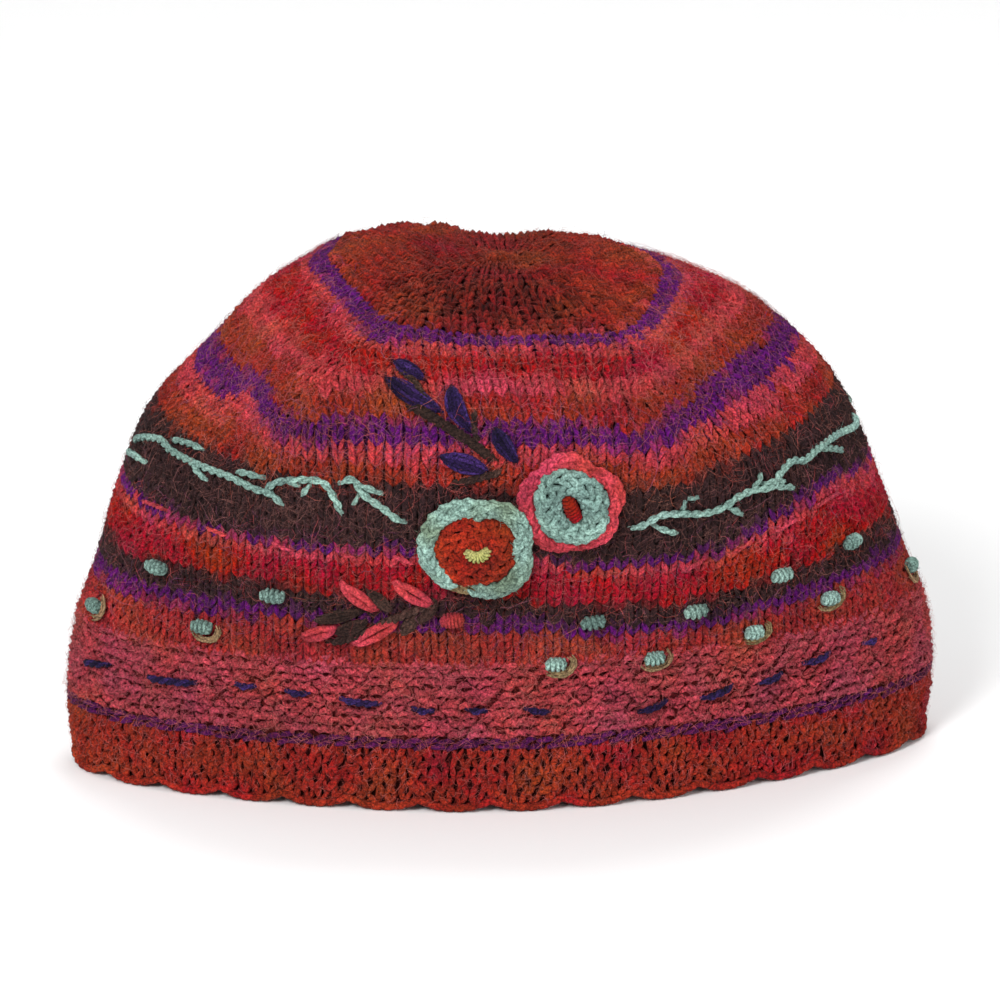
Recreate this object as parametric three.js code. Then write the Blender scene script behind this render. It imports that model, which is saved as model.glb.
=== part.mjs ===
// Knitted and embroidered beanie, standing on its scalloped rim, in millimetres.
// The front is -Y, up is +Z, and +X is the wearer's left as seen from the front.
import * as THREE from "three";

// Overall sizes.
const HAT_WIDTH = 243; // fold to fold, at the top of the hem
const HAT_DEPTH = 116; // front to back at the rim
const HAT_HEIGHT = 149; // height that the row table's height shares refer to

// Fabric.
const KNIT_WALL = 3.2;
const HEM_WALL = 3.8;
const SECTION_GAP = 0.3; // clear gap between neighbouring sections
const BAND_PADDING = 0.5; // how far the bumpy band swells past the stripes

// Scalloped edge.
const SCALLOPS_PER_PANEL = 5; // six panels, so thirty scallops
const SCALLOP_DEPTH = 2.4;
const EDGE_ROUNDING = 0.8;
const CORD_SWELL = 0.6;
const CORD_HEIGHT = 3.2;

// Crocheted roses.
const ROSE_GAP = 0.35; // clear gap between a rose and the wall
const LEFT_PETAL_RADIUS = 12.7;
const LEFT_PETAL_WIDTH = 5.2;
const LEFT_PETAL_HEIGHT = 4.8;
const LEFT_ROSETTE_WIDTH = 5.8;
const LEFT_RING_GAP = 0.6; // mean clearance between the rosette and the petals round it
const LEFT_ROSETTE_RADIUS = LEFT_PETAL_RADIUS - (LEFT_PETAL_WIDTH + LEFT_ROSETTE_WIDTH) / 2 - LEFT_RING_GAP;
const LEFT_ROSETTE_HEIGHT = 4.4;
const RIGHT_FRILL_RADIUS = 12.0;
const RIGHT_FRILL_WIDTH = 3.8;
const RIGHT_FRILL_HEIGHT = 3.6;
const RIGHT_PETAL_WIDTH = 5.6;
const RIGHT_RING_GAP = 1.1; // mean clearance between the petals and the frill round them
const RIGHT_PETAL_RADIUS = RIGHT_FRILL_RADIUS - (RIGHT_FRILL_WIDTH + RIGHT_PETAL_WIDTH) / 2 - RIGHT_RING_GAP;
const RIGHT_PETAL_HEIGHT = 4.8;
const KNOT_THICKNESS = 2.8;
const LEFT_KNOT_LENGTH = 5.0;
const RIGHT_KNOT_LENGTH = 4.4;
const RIGHT_KNOT_LEAN = -1.15; // radians from level
const ROSE_NESTING = 1.1; // how far the two roses' outlines reach into each other's valleys
const ROSES_RISE = 0.443; // radians that the line from the left rose to the right one climbs
const ROSES_APART =
  LEFT_PETAL_RADIUS + RIGHT_FRILL_RADIUS + (LEFT_PETAL_WIDTH + RIGHT_FRILL_WIDTH) / 2 - ROSE_NESTING;

const PANELS = 6;
const CORNER_REACH = 0.14; // of a panel, on each side of a crown corner
const HALF_WIDTH = HAT_WIDTH / 2;
const HALF_DEPTH = HAT_DEPTH / 2;

// Key rows of the fabric, from the rim to the centre of the crown.
// along: share of the way up the fabric.
// width, corner: shares of the half width, at the side folds and at the four panel corners.
// cornerDepth, middleDepth: shares of the half depth, at those corners and at mid panel.
// back: the back's depth as a share of the front's.
// height, frontDrop, backDrop, tilt: shares of the height.
// sway, lean: sideways shifts of the front panel and of the whole row, shares of the half width.
// skew: how far the row is turned, as a share of its depth.
// sharp: 0 for a smooth oval row, 1 for a straight-sided hexagon.
const COLUMNS = [
  "along", "width", "corner", "cornerDepth", "middleDepth", "back", "height",
  "frontDrop", "backDrop", "sway", "skew", "lean", "tilt", "sharp",
];
const KEY_ROWS = [
  [0.0, 0.985, 0.4, 0.84, 0.98, 1.0, 0.0, 0.0, 0.0, 0.0, 0.0, 0.0, 0.0, 0.0],
  [0.091, 1.0, 0.4, 0.89, 1.02, 1.0, 0.135, 0.0, 0.0, 0.0, 0.0, 0.0, 0.0, 0.0],
  [0.195, 0.975, 0.4, 0.95, 1.07, 1.0, 0.287, 0.0, 0.01, 0.0, 0.01, 0.0, 0.0, 0.0],
  [0.268, 0.93, 0.4, 1.04, 1.15, 1.0, 0.39, 0.01, 0.02, 0.0, 0.02, -0.005, 0.0, 0.05],
  [0.386, 0.865, 0.405, 1.2, 1.28, 0.97, 0.555, 0.024, 0.03, -0.05, 0.05, -0.01, 0.0, 0.1],
  [0.491, 0.795, 0.405, 1.29, 1.34, 0.94, 0.7, 0.036, 0.04, -0.11, 0.1, -0.012, -0.005, 0.35],
  [0.568, 0.69, 0.4, 1.28, 1.3, 0.92, 0.8, 0.038, 0.05, -0.16, 0.16, -0.014, -0.01, 0.7],
  [0.741, 0.425, 0.285, 0.94, 0.96, 0.92, 0.935, 0.038, 0.05, -0.02, 0.02, -0.014, -0.02, 0.8],
  [0.868, 0.21, 0.14, 0.52, 0.5, 0.92, 0.97, 0.02, 0.02, -0.01, 0.0, -0.02, -0.012, 0.75],
  [1.0, 0.0, 0.0, 0.0, 0.0, 1.0, 0.955, 0.0, 0.0, 0.0, 0.0, -0.01, 0.0, 0.6],
];
const HEM_TOP = KEY_ROWS[1][0];
const BAND_TOP = KEY_ROWS[2][0];
const CROWN_FOOT = KEY_ROWS[7][0];

// Soft dents and swells: panel position round, share along, reach in panels, reach in the along share,
// and how far out as a share of the half depth.
const DENTS = [
  { round: 2.55, along: 0.56, reachRound: 0.45, reachAlong: 0.1, out: -0.086 }, // left shoulder
  { round: 1.45, along: 0.827, reachRound: 0.6, reachAlong: 0.068, out: -0.07 }, // front of the crown
  { round: 4.6, along: 0.62, reachRound: 0.5, reachAlong: 0.09, out: -0.05 }, // back of the crown
  { round: 0.55, along: 0.36, reachRound: 0.35, reachAlong: 0.12, out: 0.026 }, // right of the belly
];

// A key-row column at one place along the fabric, with slopes that carry on smoothly through each row.
function columnAt(name, along) {
  const c = COLUMNS.indexOf(name);
  const last = KEY_ROWS.length - 1;
  const step = (i) => KEY_ROWS[i + 1][0] - KEY_ROWS[i][0];
  const rise = (i) => (KEY_ROWS[i + 1][c] - KEY_ROWS[i][c]) / step(i);
  const slope = (i) => {
    if (i === 0) return rise(0);
    if (i === last) return rise(last - 1);
    return (rise(i - 1) * step(i) + rise(i) * step(i - 1)) / (step(i - 1) + step(i));
  };
  let i = 0;
  while (i < last - 1 && along >= KEY_ROWS[i + 1][0]) i++;
  const h = step(i);
  const s = (along - KEY_ROWS[i][0]) / h;
  return (
    (2 * s ** 3 - 3 * s ** 2 + 1) * KEY_ROWS[i][c] +
    (s ** 3 - 2 * s ** 2 + s) * h * slope(i) +
    (3 * s ** 2 - 2 * s ** 3) * KEY_ROWS[i + 1][c] +
    (s ** 3 - s ** 2) * h * slope(i + 1)
  );
}

// Runs straight between the six corner values, with each corner rounded off.
function roundedSides(corners, u) {
  const k = Math.round(u);
  const t = u - k;
  const here = corners[k % PANELS];
  const before = here - corners[(k + PANELS - 1) % PANELS];
  const after = corners[(k + 1) % PANELS] - here;
  if (Math.abs(t) >= CORNER_REACH) return here + (t < 0 ? before : after) * t;
  const left = (CORNER_REACH - t) ** 2 / (4 * CORNER_REACH);
  const right = (CORNER_REACH + t) ** 2 / (4 * CORNER_REACH);
  return here - before * left + after * right;
}

// The fabric's outer face without its dents.
// round runs 0 to 6: 0 at the +X fold, 1 and 2 at the front corners, 3 at the -X fold, 4 and 5 behind.
function basePoint(round, along) {
  const u = ((round % PANELS) + PANELS) % PANELS;
  const at = (name) => columnAt(name, along);
  const angle = (u * Math.PI) / 3;
  const width = at("width") * HALF_WIDTH;
  const corner = at("corner") * HALF_WIDTH;
  const cornerDepth = at("cornerDepth") * HALF_DEPTH;
  const middleDepth = at("middleDepth") * HALF_DEPTH;
  const front = u <= 3;
  const back = at("back");

  // Oval row through the folds, the corners and the panel middles.
  const swing = cornerDepth / Math.sin(Math.PI / 3);
  const ovalX =
    width * Math.cos(angle) + ((corner - width / 2) * (Math.cos(angle) - Math.cos(3 * angle))) / 1.5;
  const ovalY = -(swing * Math.sin(angle) + (swing - middleDepth) * Math.sin(3 * angle)) * (front ? 1 : back);

  // Straight-sided row through the folds and the corners, which are rounded over a short reach.
  const flatX = roundedSides([width, corner, -corner, -width, -corner, corner], u);
  const backDepth = cornerDepth * back;
  const flatY = roundedSides([0, -cornerDepth, -cornerDepth, 0, backDepth, backDepth], u);

  const sharp = at("sharp");
  const sway = at("sway") * HALF_WIDTH * Math.sin(angle);
  const turn = 1 + 1.15 * at("skew") * Math.cos(angle) * Math.sin(angle);
  const drop = (front ? at("frontDrop") : at("backDrop")) * Math.sin(angle) ** 2;
  return new THREE.Vector3(
    ovalX + (flatX - ovalX) * sharp + sway + at("lean") * HALF_WIDTH,
    (ovalY + (flatY - ovalY) * sharp) * turn,
    (at("height") - drop + at("tilt") * Math.cos(angle)) * HAT_HEIGHT,
  );
}

// Outward unit normal of the fabric's outer face.
function normalAt(round, along) {
  const e = 1e-4;
  const low = Math.max(along - e, 0);
  const high = Math.min(along + e, 1);
  if (along > 1 - 1e-3) return new THREE.Vector3(0, 0, 1);
  const du = basePoint(round + e, along).sub(basePoint(round - e, along));
  const dv = basePoint(round, high).sub(basePoint(round, low));
  return dv.cross(du).normalize();
}

// The fabric's outer face with its dents, moved out by offset along the normal.
function fabricPoint(round, along, offset = 0) {
  let out = offset;
  for (const d of DENTS) {
    const across = ((((round - d.round + 3) % PANELS) + PANELS) % PANELS) - 3;
    const up = (along - d.along) / d.reachAlong;
    out += d.out * HALF_DEPTH * Math.exp(-((across / d.reachRound) ** 2) - up ** 2);
  }
  return basePoint(round, along).addScaledVector(normalAt(round, along), out);
}

// Length of fabric for one unit of the along share, at one place.
function stretchAlong(round, along) {
  const e = 1e-3;
  return basePoint(round, along + e).distanceTo(basePoint(round, along)) / e;
}

// Positions round the hat that are evenly spaced within each panel, so that columns stay on the corners.
function evenRound(perPanel, along) {
  const fine = 60;
  const places = [];
  for (let panel = 0; panel < PANELS; panel++) {
    const length = [0];
    let before = basePoint(panel, along);
    for (let i = 1; i <= fine; i++) {
      const now = basePoint(panel + i / fine, along);
      length.push(length[i - 1] + now.distanceTo(before));
      before = now;
    }
    for (let k = 0; k < perPanel; k++) {
      const want = (k / perPanel) * length[fine];
      let i = 0;
      while (i < fine - 1 && length[i + 1] < want) i++;
      const part = (want - length[i]) / (length[i + 1] - length[i]);
      places.push(panel + (i + part) / fine);
    }
  }
  return places;
}

// A closed body from loops of points: each loop is stitched to the next.
// A loop of one point closes that end to a tip. With ring set, the last loop joins the first.
function bodyFromLoops(name, loops, colour, ring) {
  const positions = [];
  const faces = [];
  const starts = loops.map((loop) => {
    const start = positions.length / 3;
    for (const p of loop) positions.push(p.x, p.y, p.z);
    return start;
  });
  const pairs = ring ? loops.length : loops.length - 1;
  for (let i = 0; i < pairs; i++) {
    const j = (i + 1) % loops.length;
    const count = Math.max(loops[i].length, loops[j].length);
    const a = (k) => starts[i] + (loops[i].length === 1 ? 0 : k % count);
    const b = (k) => starts[j] + (loops[j].length === 1 ? 0 : k % count);
    for (let k = 0; k < count; k++) {
      if (loops[j].length > 1) faces.push(a(k), b(k + 1), b(k));
      if (loops[i].length > 1) faces.push(a(k), a(k + 1), b(k + 1));
    }
  }
  // Signed volume tells whether the faces point in or out.
  let volume = 0;
  const at = (i) => new THREE.Vector3(...positions.slice(3 * i, 3 * i + 3));
  for (let f = 0; f < faces.length; f += 3)
    volume += at(faces[f]).dot(at(faces[f + 1]).cross(at(faces[f + 2])));
  if (volume < 0)
    for (let f = 0; f < faces.length; f += 3)
      [faces[f + 1], faces[f + 2]] = [faces[f + 2], faces[f + 1]];
  const geometry = new THREE.BufferGeometry();
  geometry.setAttribute("position", new THREE.Float32BufferAttribute(positions, 3));
  geometry.setIndex(faces);
  geometry.computeVertexNormals();
  const mesh = new THREE.Mesh(geometry, new THREE.MeshStandardMaterial({ color: colour, roughness: 0.95 }));
  mesh.name = name;
  return mesh;
}

// One section of the wall between two places along the fabric, open or closed at the top.
function wallSection(name, colour, { from, to, perPanel, outerRows, innerRows, swell = 0, closed = false }) {
  const rounds = evenRound(perPanel, (from + Math.min(to, 0.86)) / 2);
  const lowGap = (u) => from + SECTION_GAP / 2 / stretchAlong(u, from);
  const highGap = (u) => (closed ? 1 : to - SECTION_GAP / 2 / stretchAlong(u, to));
  const loop = (t, offset) =>
    rounds.map((u) => fabricPoint(u, lowGap(u) + (highGap(u) - lowGap(u)) * t, offset));
  const loops = [];
  const lastOuter = closed ? outerRows - 1 : outerRows;
  for (let i = 0; i <= lastOuter; i++) {
    const t = i / outerRows;
    loops.push(loop(t, swell * Math.sin(Math.PI * t)));
  }
  if (closed) {
    loops.push([fabricPoint(0, 1)]);
    loops.push([fabricPoint(0, 1, -KNIT_WALL)]);
  }
  const firstInner = closed ? innerRows - 1 : innerRows;
  for (let i = firstInner; i >= 0; i--) loops.push(loop(i / innerRows, -KNIT_WALL));
  // The two tips of a closed section belong to separate shells of loops, which meet only at the foot.
  return closed ? closedSection(name, colour, loops) : bodyFromLoops(name, loops, colour, true);
}

// A dome-like section: outer loops up to their tip, and inner loops down from theirs, joined at the foot.
function closedSection(name, colour, loops) {
  const tip = loops.findIndex((loop) => loop.length === 1);
  const outer = loops.slice(0, tip + 1).reverse();
  const inner = loops.slice(tip + 1).reverse();
  return bodyFromLoops(name, [...outer, ...inner], colour, false);
}

// The crocheted hem: level feet at the scallop tips, a rounded cord edge, and a plain top.
function hemEdging() {
  const perScallop = 5;
  const lift = [1, 0.3, 0, 0, 0.3]; // of the scallop depth, from one cusp to the next
  const rounds = evenRound(SCALLOPS_PER_PANEL * perScallop, HEM_TOP / 2);
  const cordShare = CORD_HEIGHT / (HEM_TOP * stretchAlong(1.5, HEM_TOP / 2));
  const loop = (share, offset) =>
    rounds.map((u, k) => {
      const foot = (lift[k % perScallop] * SCALLOP_DEPTH) / stretchAlong(u, 0);
      const top = HEM_TOP - SECTION_GAP / 2 / stretchAlong(u, HEM_TOP);
      const along = foot + (top - foot) * share;
      const level = normalAt(u, along).setZ(0).normalize();
      return basePoint(u, along).addScaledVector(level, offset);
    });
  return bodyFromLoops(
    "hem_edging",
    [
      loop(0, -EDGE_ROUNDING),
      loop(cordShare * 0.45, CORD_SWELL),
      loop(cordShare, CORD_SWELL * 0.5),
      loop(0.55, CORD_SWELL * 0.3),
      loop(1, 0),
      loop(1, -HEM_WALL),
      loop(0.5, -HEM_WALL - CORD_SWELL * 0.2),
      loop(cordShare * 0.6, -HEM_WALL - CORD_SWELL * 0.5),
      loop(0, EDGE_ROUNDING - HEM_WALL),
    ],
    0x96401f,
    true,
  );
}

// Maps millimetres right and up, measured at a place on the fabric, to a position round and along it.
function localSpot(round, along) {
  const e = 1e-3;
  const perRound = basePoint(round + e, along).sub(basePoint(round - e, along)).divideScalar(2 * e);
  const perAlong = basePoint(round, along + e).sub(basePoint(round, along - e)).divideScalar(2 * e);
  const normal = normalAt(round, along);
  const right = new THREE.Vector3(1, 0, 0);
  right.addScaledVector(normal, -right.dot(normal)).normalize();
  const up = normal.clone().cross(right);
  const a = perRound.dot(right);
  const b = perAlong.dot(right);
  const c = perRound.dot(up);
  const d = perAlong.dot(up);
  const det = a * d - b * c;
  return (x, y) => [round + (d * x - b * y) / det, along + (a * y - c * x) / det];
}

// Maps millimetres right, up and out, measured at a place on the fabric, to a point that follows its curve.
function localPlacer(place) {
  const spot = localSpot(...place);
  return (x, y, out) => fabricPoint(...spot(x, y), out);
}

// A crocheted ring with lobes, lying on the fabric: lobeDepth and oval are shares of its radius.
function petalRing(name, colour, place, { radius, width, height, lobes, lobeDepth, turn, oval = 0, segments = 36 }) {
  const sides = 8;
  const loops = [];
  for (let i = 0; i < segments; i++) {
    const angle = (i / segments) * 2 * Math.PI;
    const wave = Math.abs(Math.sin((lobes * angle) / 2 + turn));
    const stretch = oval * Math.cos(2 * (angle - RIGHT_KNOT_LEAN));
    const middle = radius * (1 + lobeDepth * (wave - 0.5) + stretch);
    const plump = 0.82 + 0.18 * wave;
    const loop = [];
    for (let k = 0; k < sides; k++) {
      const around = (k / sides) * 2 * Math.PI;
      const r = middle + (width / 2) * plump * Math.cos(around);
      const out = ROSE_GAP + (height / 2) * plump * (1 + Math.sin(around));
      loop.push(place(r * Math.cos(angle), r * Math.sin(angle), out));
    }
    loops.push(loop);
  }
  return bodyFromLoops(name, loops, colour, true);
}

// A wrapped bullion knot with rounded ends, lying on the fabric: bend 0 is straight, 1 is a half circle.
function bullionKnot(name, colour, place, { length, thickness, bend, lean }) {
  const sides = 8;
  const steps = 8;
  const loops = [];
  const sweep = Math.max(bend, 1e-3) * Math.PI;
  const radius = length / sweep;
  const sagitta = radius * (1 - Math.cos(sweep / 2));
  for (let i = 0; i <= steps; i++) {
    const t = i / steps;
    const angle = (t - 0.5) * sweep;
    const x = radius * Math.sin(angle);
    const y = radius * (1 - Math.cos(angle)) - sagitta / 2;
    const fat = Math.sin(Math.PI * (0.12 + 0.76 * t)) ** 0.5;
    const loop = [];
    for (let k = 0; k < sides; k++) {
      const around = (k / sides) * 2 * Math.PI;
      const side = (thickness / 2) * fat * Math.cos(around);
      const px = x - side * Math.sin(angle);
      const py = y + side * Math.cos(angle);
      const out = ROSE_GAP + (thickness / 2) * (1 + fat * Math.sin(around));
      loop.push(
        place(px * Math.cos(lean) - py * Math.sin(lean), px * Math.sin(lean) + py * Math.cos(lean), out),
      );
    }
    loops.push(loop);
  }
  const tip = (loop) => {
    const middle = new THREE.Vector3();
    for (const p of loop) middle.addScaledVector(p, 1 / loop.length);
    return middle;
  };
  return bodyFromLoops(name, [[tip(loops[0])], ...loops, [tip(loops[steps])]], colour, false);
}

const hat = new THREE.Group();
hat.name = "beanie";
hat.add(hemEdging());
hat.add(
  wallSection("stitch_band", 0xbe4650, {
    from: HEM_TOP, to: BAND_TOP, perPanel: 15, outerRows: 4, innerRows: 3, swell: BAND_PADDING,
  }),
);
hat.add(
  wallSection("side_wall", 0x8c2a30, {
    from: BAND_TOP, to: CROWN_FOOT, perPanel: 15, outerRows: 10, innerRows: 7,
  }),
);
hat.add(
  wallSection("crown", 0x9a4020, {
    from: CROWN_FOOT, to: 1, perPanel: 12, outerRows: 7, innerRows: 5, closed: true,
  }),
);

const leftSpot = [1.58, 0.404];
const leftRose = localPlacer(leftSpot);
hat.add(
  petalRing("left_rose_petals", 0x82b4a5, leftRose, {
    radius: LEFT_PETAL_RADIUS, width: LEFT_PETAL_WIDTH, height: LEFT_PETAL_HEIGHT,
    lobes: 3, lobeDepth: 0.126, turn: 2.75,
  }),
  petalRing("left_rose_rosette", 0xaa4a1e, leftRose, {
    radius: LEFT_ROSETTE_RADIUS, width: LEFT_ROSETTE_WIDTH, height: LEFT_ROSETTE_HEIGHT,
    lobes: 5, lobeDepth: 0.09, turn: 0.3, segments: 30,
  }),
  bullionKnot("left_rose_knot", 0xbeb978, leftRose, {
    length: LEFT_KNOT_LENGTH, thickness: KNOT_THICKNESS, bend: 0.9, lean: 0.3,
  }),
);
const rightSpot = localSpot(...leftSpot)(
  ROSES_APART * Math.cos(ROSES_RISE),
  ROSES_APART * Math.sin(ROSES_RISE),
);
const rightRose = localPlacer(rightSpot);
hat.add(
  petalRing("right_rose_frill", 0xd2525f, rightRose, {
    radius: RIGHT_FRILL_RADIUS, width: RIGHT_FRILL_WIDTH, height: RIGHT_FRILL_HEIGHT,
    lobes: 5, lobeDepth: 0.067, turn: 0.56,
  }),
  petalRing("right_rose_petals", 0x82b4a5, rightRose, {
    radius: RIGHT_PETAL_RADIUS, width: RIGHT_PETAL_WIDTH, height: RIGHT_PETAL_HEIGHT,
    lobes: 4, lobeDepth: 0.08, turn: 0.2, oval: 0.13, segments: 30,
  }),
  bullionKnot("right_rose_knot", 0xa51423, rightRose, {
    length: RIGHT_KNOT_LENGTH, thickness: KNOT_THICKNESS, bend: 0.15, lean: RIGHT_KNOT_LEAN,
  }),
);

// The origin is at the middle of the hat's footprint box, on the surface that it rests on.
const box = new THREE.Box3().setFromObject(hat);
const middle = box.getCenter(new THREE.Vector3());
for (const mesh of hat.children) mesh.geometry.translate(-middle.x, -middle.y, -box.min.z);

export default hat;
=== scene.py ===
"""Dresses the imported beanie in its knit, crochet, embroidery and fuzz."""
import math

import bpy
import numpy as np
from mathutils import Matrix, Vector


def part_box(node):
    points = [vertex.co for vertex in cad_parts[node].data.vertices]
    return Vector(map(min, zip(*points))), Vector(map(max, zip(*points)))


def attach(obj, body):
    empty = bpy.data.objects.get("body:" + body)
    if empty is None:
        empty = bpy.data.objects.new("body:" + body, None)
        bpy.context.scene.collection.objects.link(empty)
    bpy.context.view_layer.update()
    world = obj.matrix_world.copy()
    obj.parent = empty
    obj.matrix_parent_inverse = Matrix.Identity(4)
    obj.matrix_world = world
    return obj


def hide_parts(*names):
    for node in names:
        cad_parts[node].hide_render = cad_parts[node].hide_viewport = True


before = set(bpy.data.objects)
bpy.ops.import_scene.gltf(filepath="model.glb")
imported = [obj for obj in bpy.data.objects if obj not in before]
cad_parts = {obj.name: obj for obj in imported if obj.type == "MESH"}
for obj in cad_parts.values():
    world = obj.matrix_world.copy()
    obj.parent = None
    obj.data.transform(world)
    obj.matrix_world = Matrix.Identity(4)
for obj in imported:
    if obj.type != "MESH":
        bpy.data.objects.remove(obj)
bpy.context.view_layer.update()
rng = np.random.default_rng(7)

MM = 0.001
LOWEST_FIBRE = 0.15  # above the floor
SAMPLES = 60  # places measured in each panel of a row

# Overall sizes, in millimetres.
HAT_WIDTH = 243.0
HAT_DEPTH = 116.0
HAT_HEIGHT = 149.0
HALF_WIDTH = HAT_WIDTH / 2
HALF_DEPTH = HAT_DEPTH / 2
FABRIC_LENGTH = 220.0  # from the rim to the centre of the crown
PANELS = 6
WAVINESS = 0.42  # of a hand-made knit
CORNER_REACH = 0.14  # how far round, on each side, a corner of the crown is rounded

# Key rows of the fabric, as in the part: shares of the half width, the half depth and the height.
COLUMNS = [
    "along", "width", "corner", "cornerDepth", "middleDepth", "back", "height",
    "frontDrop", "backDrop", "sway", "skew", "lean", "tilt", "sharp",
]
KEY_ROWS = np.array([
    [0.0, 0.985, 0.4, 0.84, 0.98, 1.0, 0.0, 0.0, 0.0, 0.0, 0.0, 0.0, 0.0, 0.0],
    [0.091, 1.0, 0.4, 0.89, 1.02, 1.0, 0.135, 0.0, 0.0, 0.0, 0.0, 0.0, 0.0, 0.0],
    [0.195, 0.975, 0.4, 0.95, 1.07, 1.0, 0.287, 0.0, 0.01, 0.0, 0.01, 0.0, 0.0, 0.0],
    [0.268, 0.93, 0.4, 1.04, 1.15, 1.0, 0.39, 0.01, 0.02, 0.0, 0.02, -0.005, 0.0, 0.05],
    [0.386, 0.865, 0.405, 1.2, 1.28, 0.97, 0.555, 0.024, 0.03, -0.05, 0.05, -0.01, 0.0, 0.1],
    [0.491, 0.795, 0.405, 1.29, 1.34, 0.94, 0.7, 0.036, 0.04, -0.11, 0.1, -0.012, -0.005, 0.35],
    [0.568, 0.69, 0.4, 1.28, 1.3, 0.92, 0.8, 0.038, 0.05, -0.16, 0.16, -0.014, -0.01, 0.7],
    [0.741, 0.425, 0.285, 0.94, 0.96, 0.92, 0.935, 0.038, 0.05, -0.02, 0.02, -0.014, -0.02, 0.8],
    [0.868, 0.21, 0.14, 0.52, 0.5, 0.92, 0.97, 0.02, 0.02, -0.01, 0.0, -0.02, -0.012, 0.75],
    [1.0, 0.0, 0.0, 0.0, 0.0, 1.0, 0.955, 0.0, 0.0, 0.0, 0.0, -0.01, 0.0, 0.6],
])
HEM_TOP = 0.091
BAND_TOP = 0.195
CROWN_START = 0.568
CROWN_FOOT = 0.741

# Soft dents and swells: round, along, reach round, reach along, out as a share of the half depth.
DENTS = [
    (2.55, 0.56, 0.45, 0.1, -0.086),
    (1.45, 0.827, 0.6, 0.068, -0.07),
    (4.6, 0.62, 0.5, 0.09, -0.05),
    (0.55, 0.36, 0.35, 0.12, 0.026),
]

# Small gathers at the top edge of the crown, given in the same way.
GATHERS = [
    (4.05, 0.8, 0.12, 0.05, 0.03),
    (4.27, 0.8, 0.08, 0.05, 0.042),
    (4.5, 0.8, 0.12, 0.05, -0.03),
]

STEP = np.diff(KEY_ROWS[:, 0])
RISE = np.diff(KEY_ROWS, axis=0) / STEP[:, None]
INNER = (RISE[:-1] * STEP[1:, None] + RISE[1:] * STEP[:-1, None]) / (STEP[1:] + STEP[:-1])[:, None]
SLOPE = np.vstack([RISE[:1], INNER, RISE[-1:]])

hem_low, hem_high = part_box("hem_edging")
SHIFT = np.array([
    (hem_low[0] + hem_high[0]) / 2, (hem_low[1] + hem_high[1]) / 2, 0.0,
]) / MM


def unit(v):
    return v / np.maximum(np.linalg.norm(v, axis=-1, keepdims=True), 1e-9)


def key_values(along):
    """All the key-row columns at some places along the fabric."""
    along = np.asarray(along, float)
    i = np.clip(np.searchsorted(KEY_ROWS[:, 0], along, side="right") - 1, 0, len(STEP) - 1)
    h = STEP[i][..., None]
    s = (along[..., None] - KEY_ROWS[i, :1]) / h
    value = (2 * s**3 - 3 * s**2 + 1) * KEY_ROWS[i] + (s**3 - 2 * s**2 + s) * h * SLOPE[i]
    value = value + (3 * s**2 - 2 * s**3) * KEY_ROWS[i + 1] + (s**3 - s**2) * h * SLOPE[i + 1]
    return dict(zip(COLUMNS, np.moveaxis(value, -1, 0)))


def rounded_sides(corners, u):
    """Values that run straight between the corners of the six-sided crown, rounded off near each one."""
    k = np.floor(u + 0.5).astype(int)
    t = u - k
    table = np.stack([c + 0 * u for c in corners])

    def pick(i):
        return np.take_along_axis(table, (i % PANELS)[None], 0)[0]

    here = pick(k)
    before = here - pick(k - 1)
    after = pick(k + 1) - here
    r = CORNER_REACH
    straight = here + np.where(t < 0, before, after) * t
    curved = here - before * (r - t) ** 2 / (4 * r) + after * (r + t) ** 2 / (4 * r)
    return np.where(np.abs(t) >= r, straight, curved)


def base_point(u, along):
    """The fabric's outer face without its dents, in mm: u is 0 at the +X fold, 1 to 2 in front."""
    u, along = np.broadcast_arrays(np.mod(np.asarray(u, float), PANELS), np.asarray(along, float))
    k = key_values(along)
    angle = u * math.pi / 3
    width = k["width"] * HALF_WIDTH
    corner = k["corner"] * HALF_WIDTH
    corner_depth = k["cornerDepth"] * HALF_DEPTH
    middle_depth = k["middleDepth"] * HALF_DEPTH
    front = u <= 3
    swing = corner_depth / math.sin(math.pi / 3)
    oval_x = width * np.cos(angle) + (corner - width / 2) * (np.cos(angle) - np.cos(3 * angle)) / 1.5
    oval_y = -(swing * np.sin(angle) + (swing - middle_depth) * np.sin(3 * angle))
    oval_y = oval_y * np.where(front, 1.0, k["back"])
    flat_x = rounded_sides([width, corner, -corner, -width, -corner, corner], u)
    back_depth = corner_depth * k["back"]
    zero = corner_depth * 0
    flat_y = rounded_sides([zero, -corner_depth, -corner_depth, zero, back_depth, back_depth], u)
    sway = k["sway"] * HALF_WIDTH * np.sin(angle)
    turn = 1 + 1.15 * k["skew"] * np.cos(angle) * np.sin(angle)
    drop = np.where(front, k["frontDrop"], k["backDrop"]) * np.sin(angle) ** 2
    x = oval_x + (flat_x - oval_x) * k["sharp"] + sway + k["lean"] * HALF_WIDTH
    y = (oval_y + (flat_y - oval_y) * k["sharp"]) * turn
    z = (k["height"] - drop + k["tilt"] * np.cos(angle)) * HAT_HEIGHT
    return np.stack([x, y, z], -1) + SHIFT


def base_normal(u, along):
    e = 1e-4
    du = base_point(u + e, along) - base_point(u - e, along)
    dv = base_point(u, np.minimum(along + e, 1.0)) - base_point(u, np.maximum(along - e, 0.0))
    n = unit(np.cross(dv, du))
    n[np.broadcast_to(along, n.shape[:-1]) > 1 - 1e-3] = (0, 0, 1)
    return n


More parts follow.
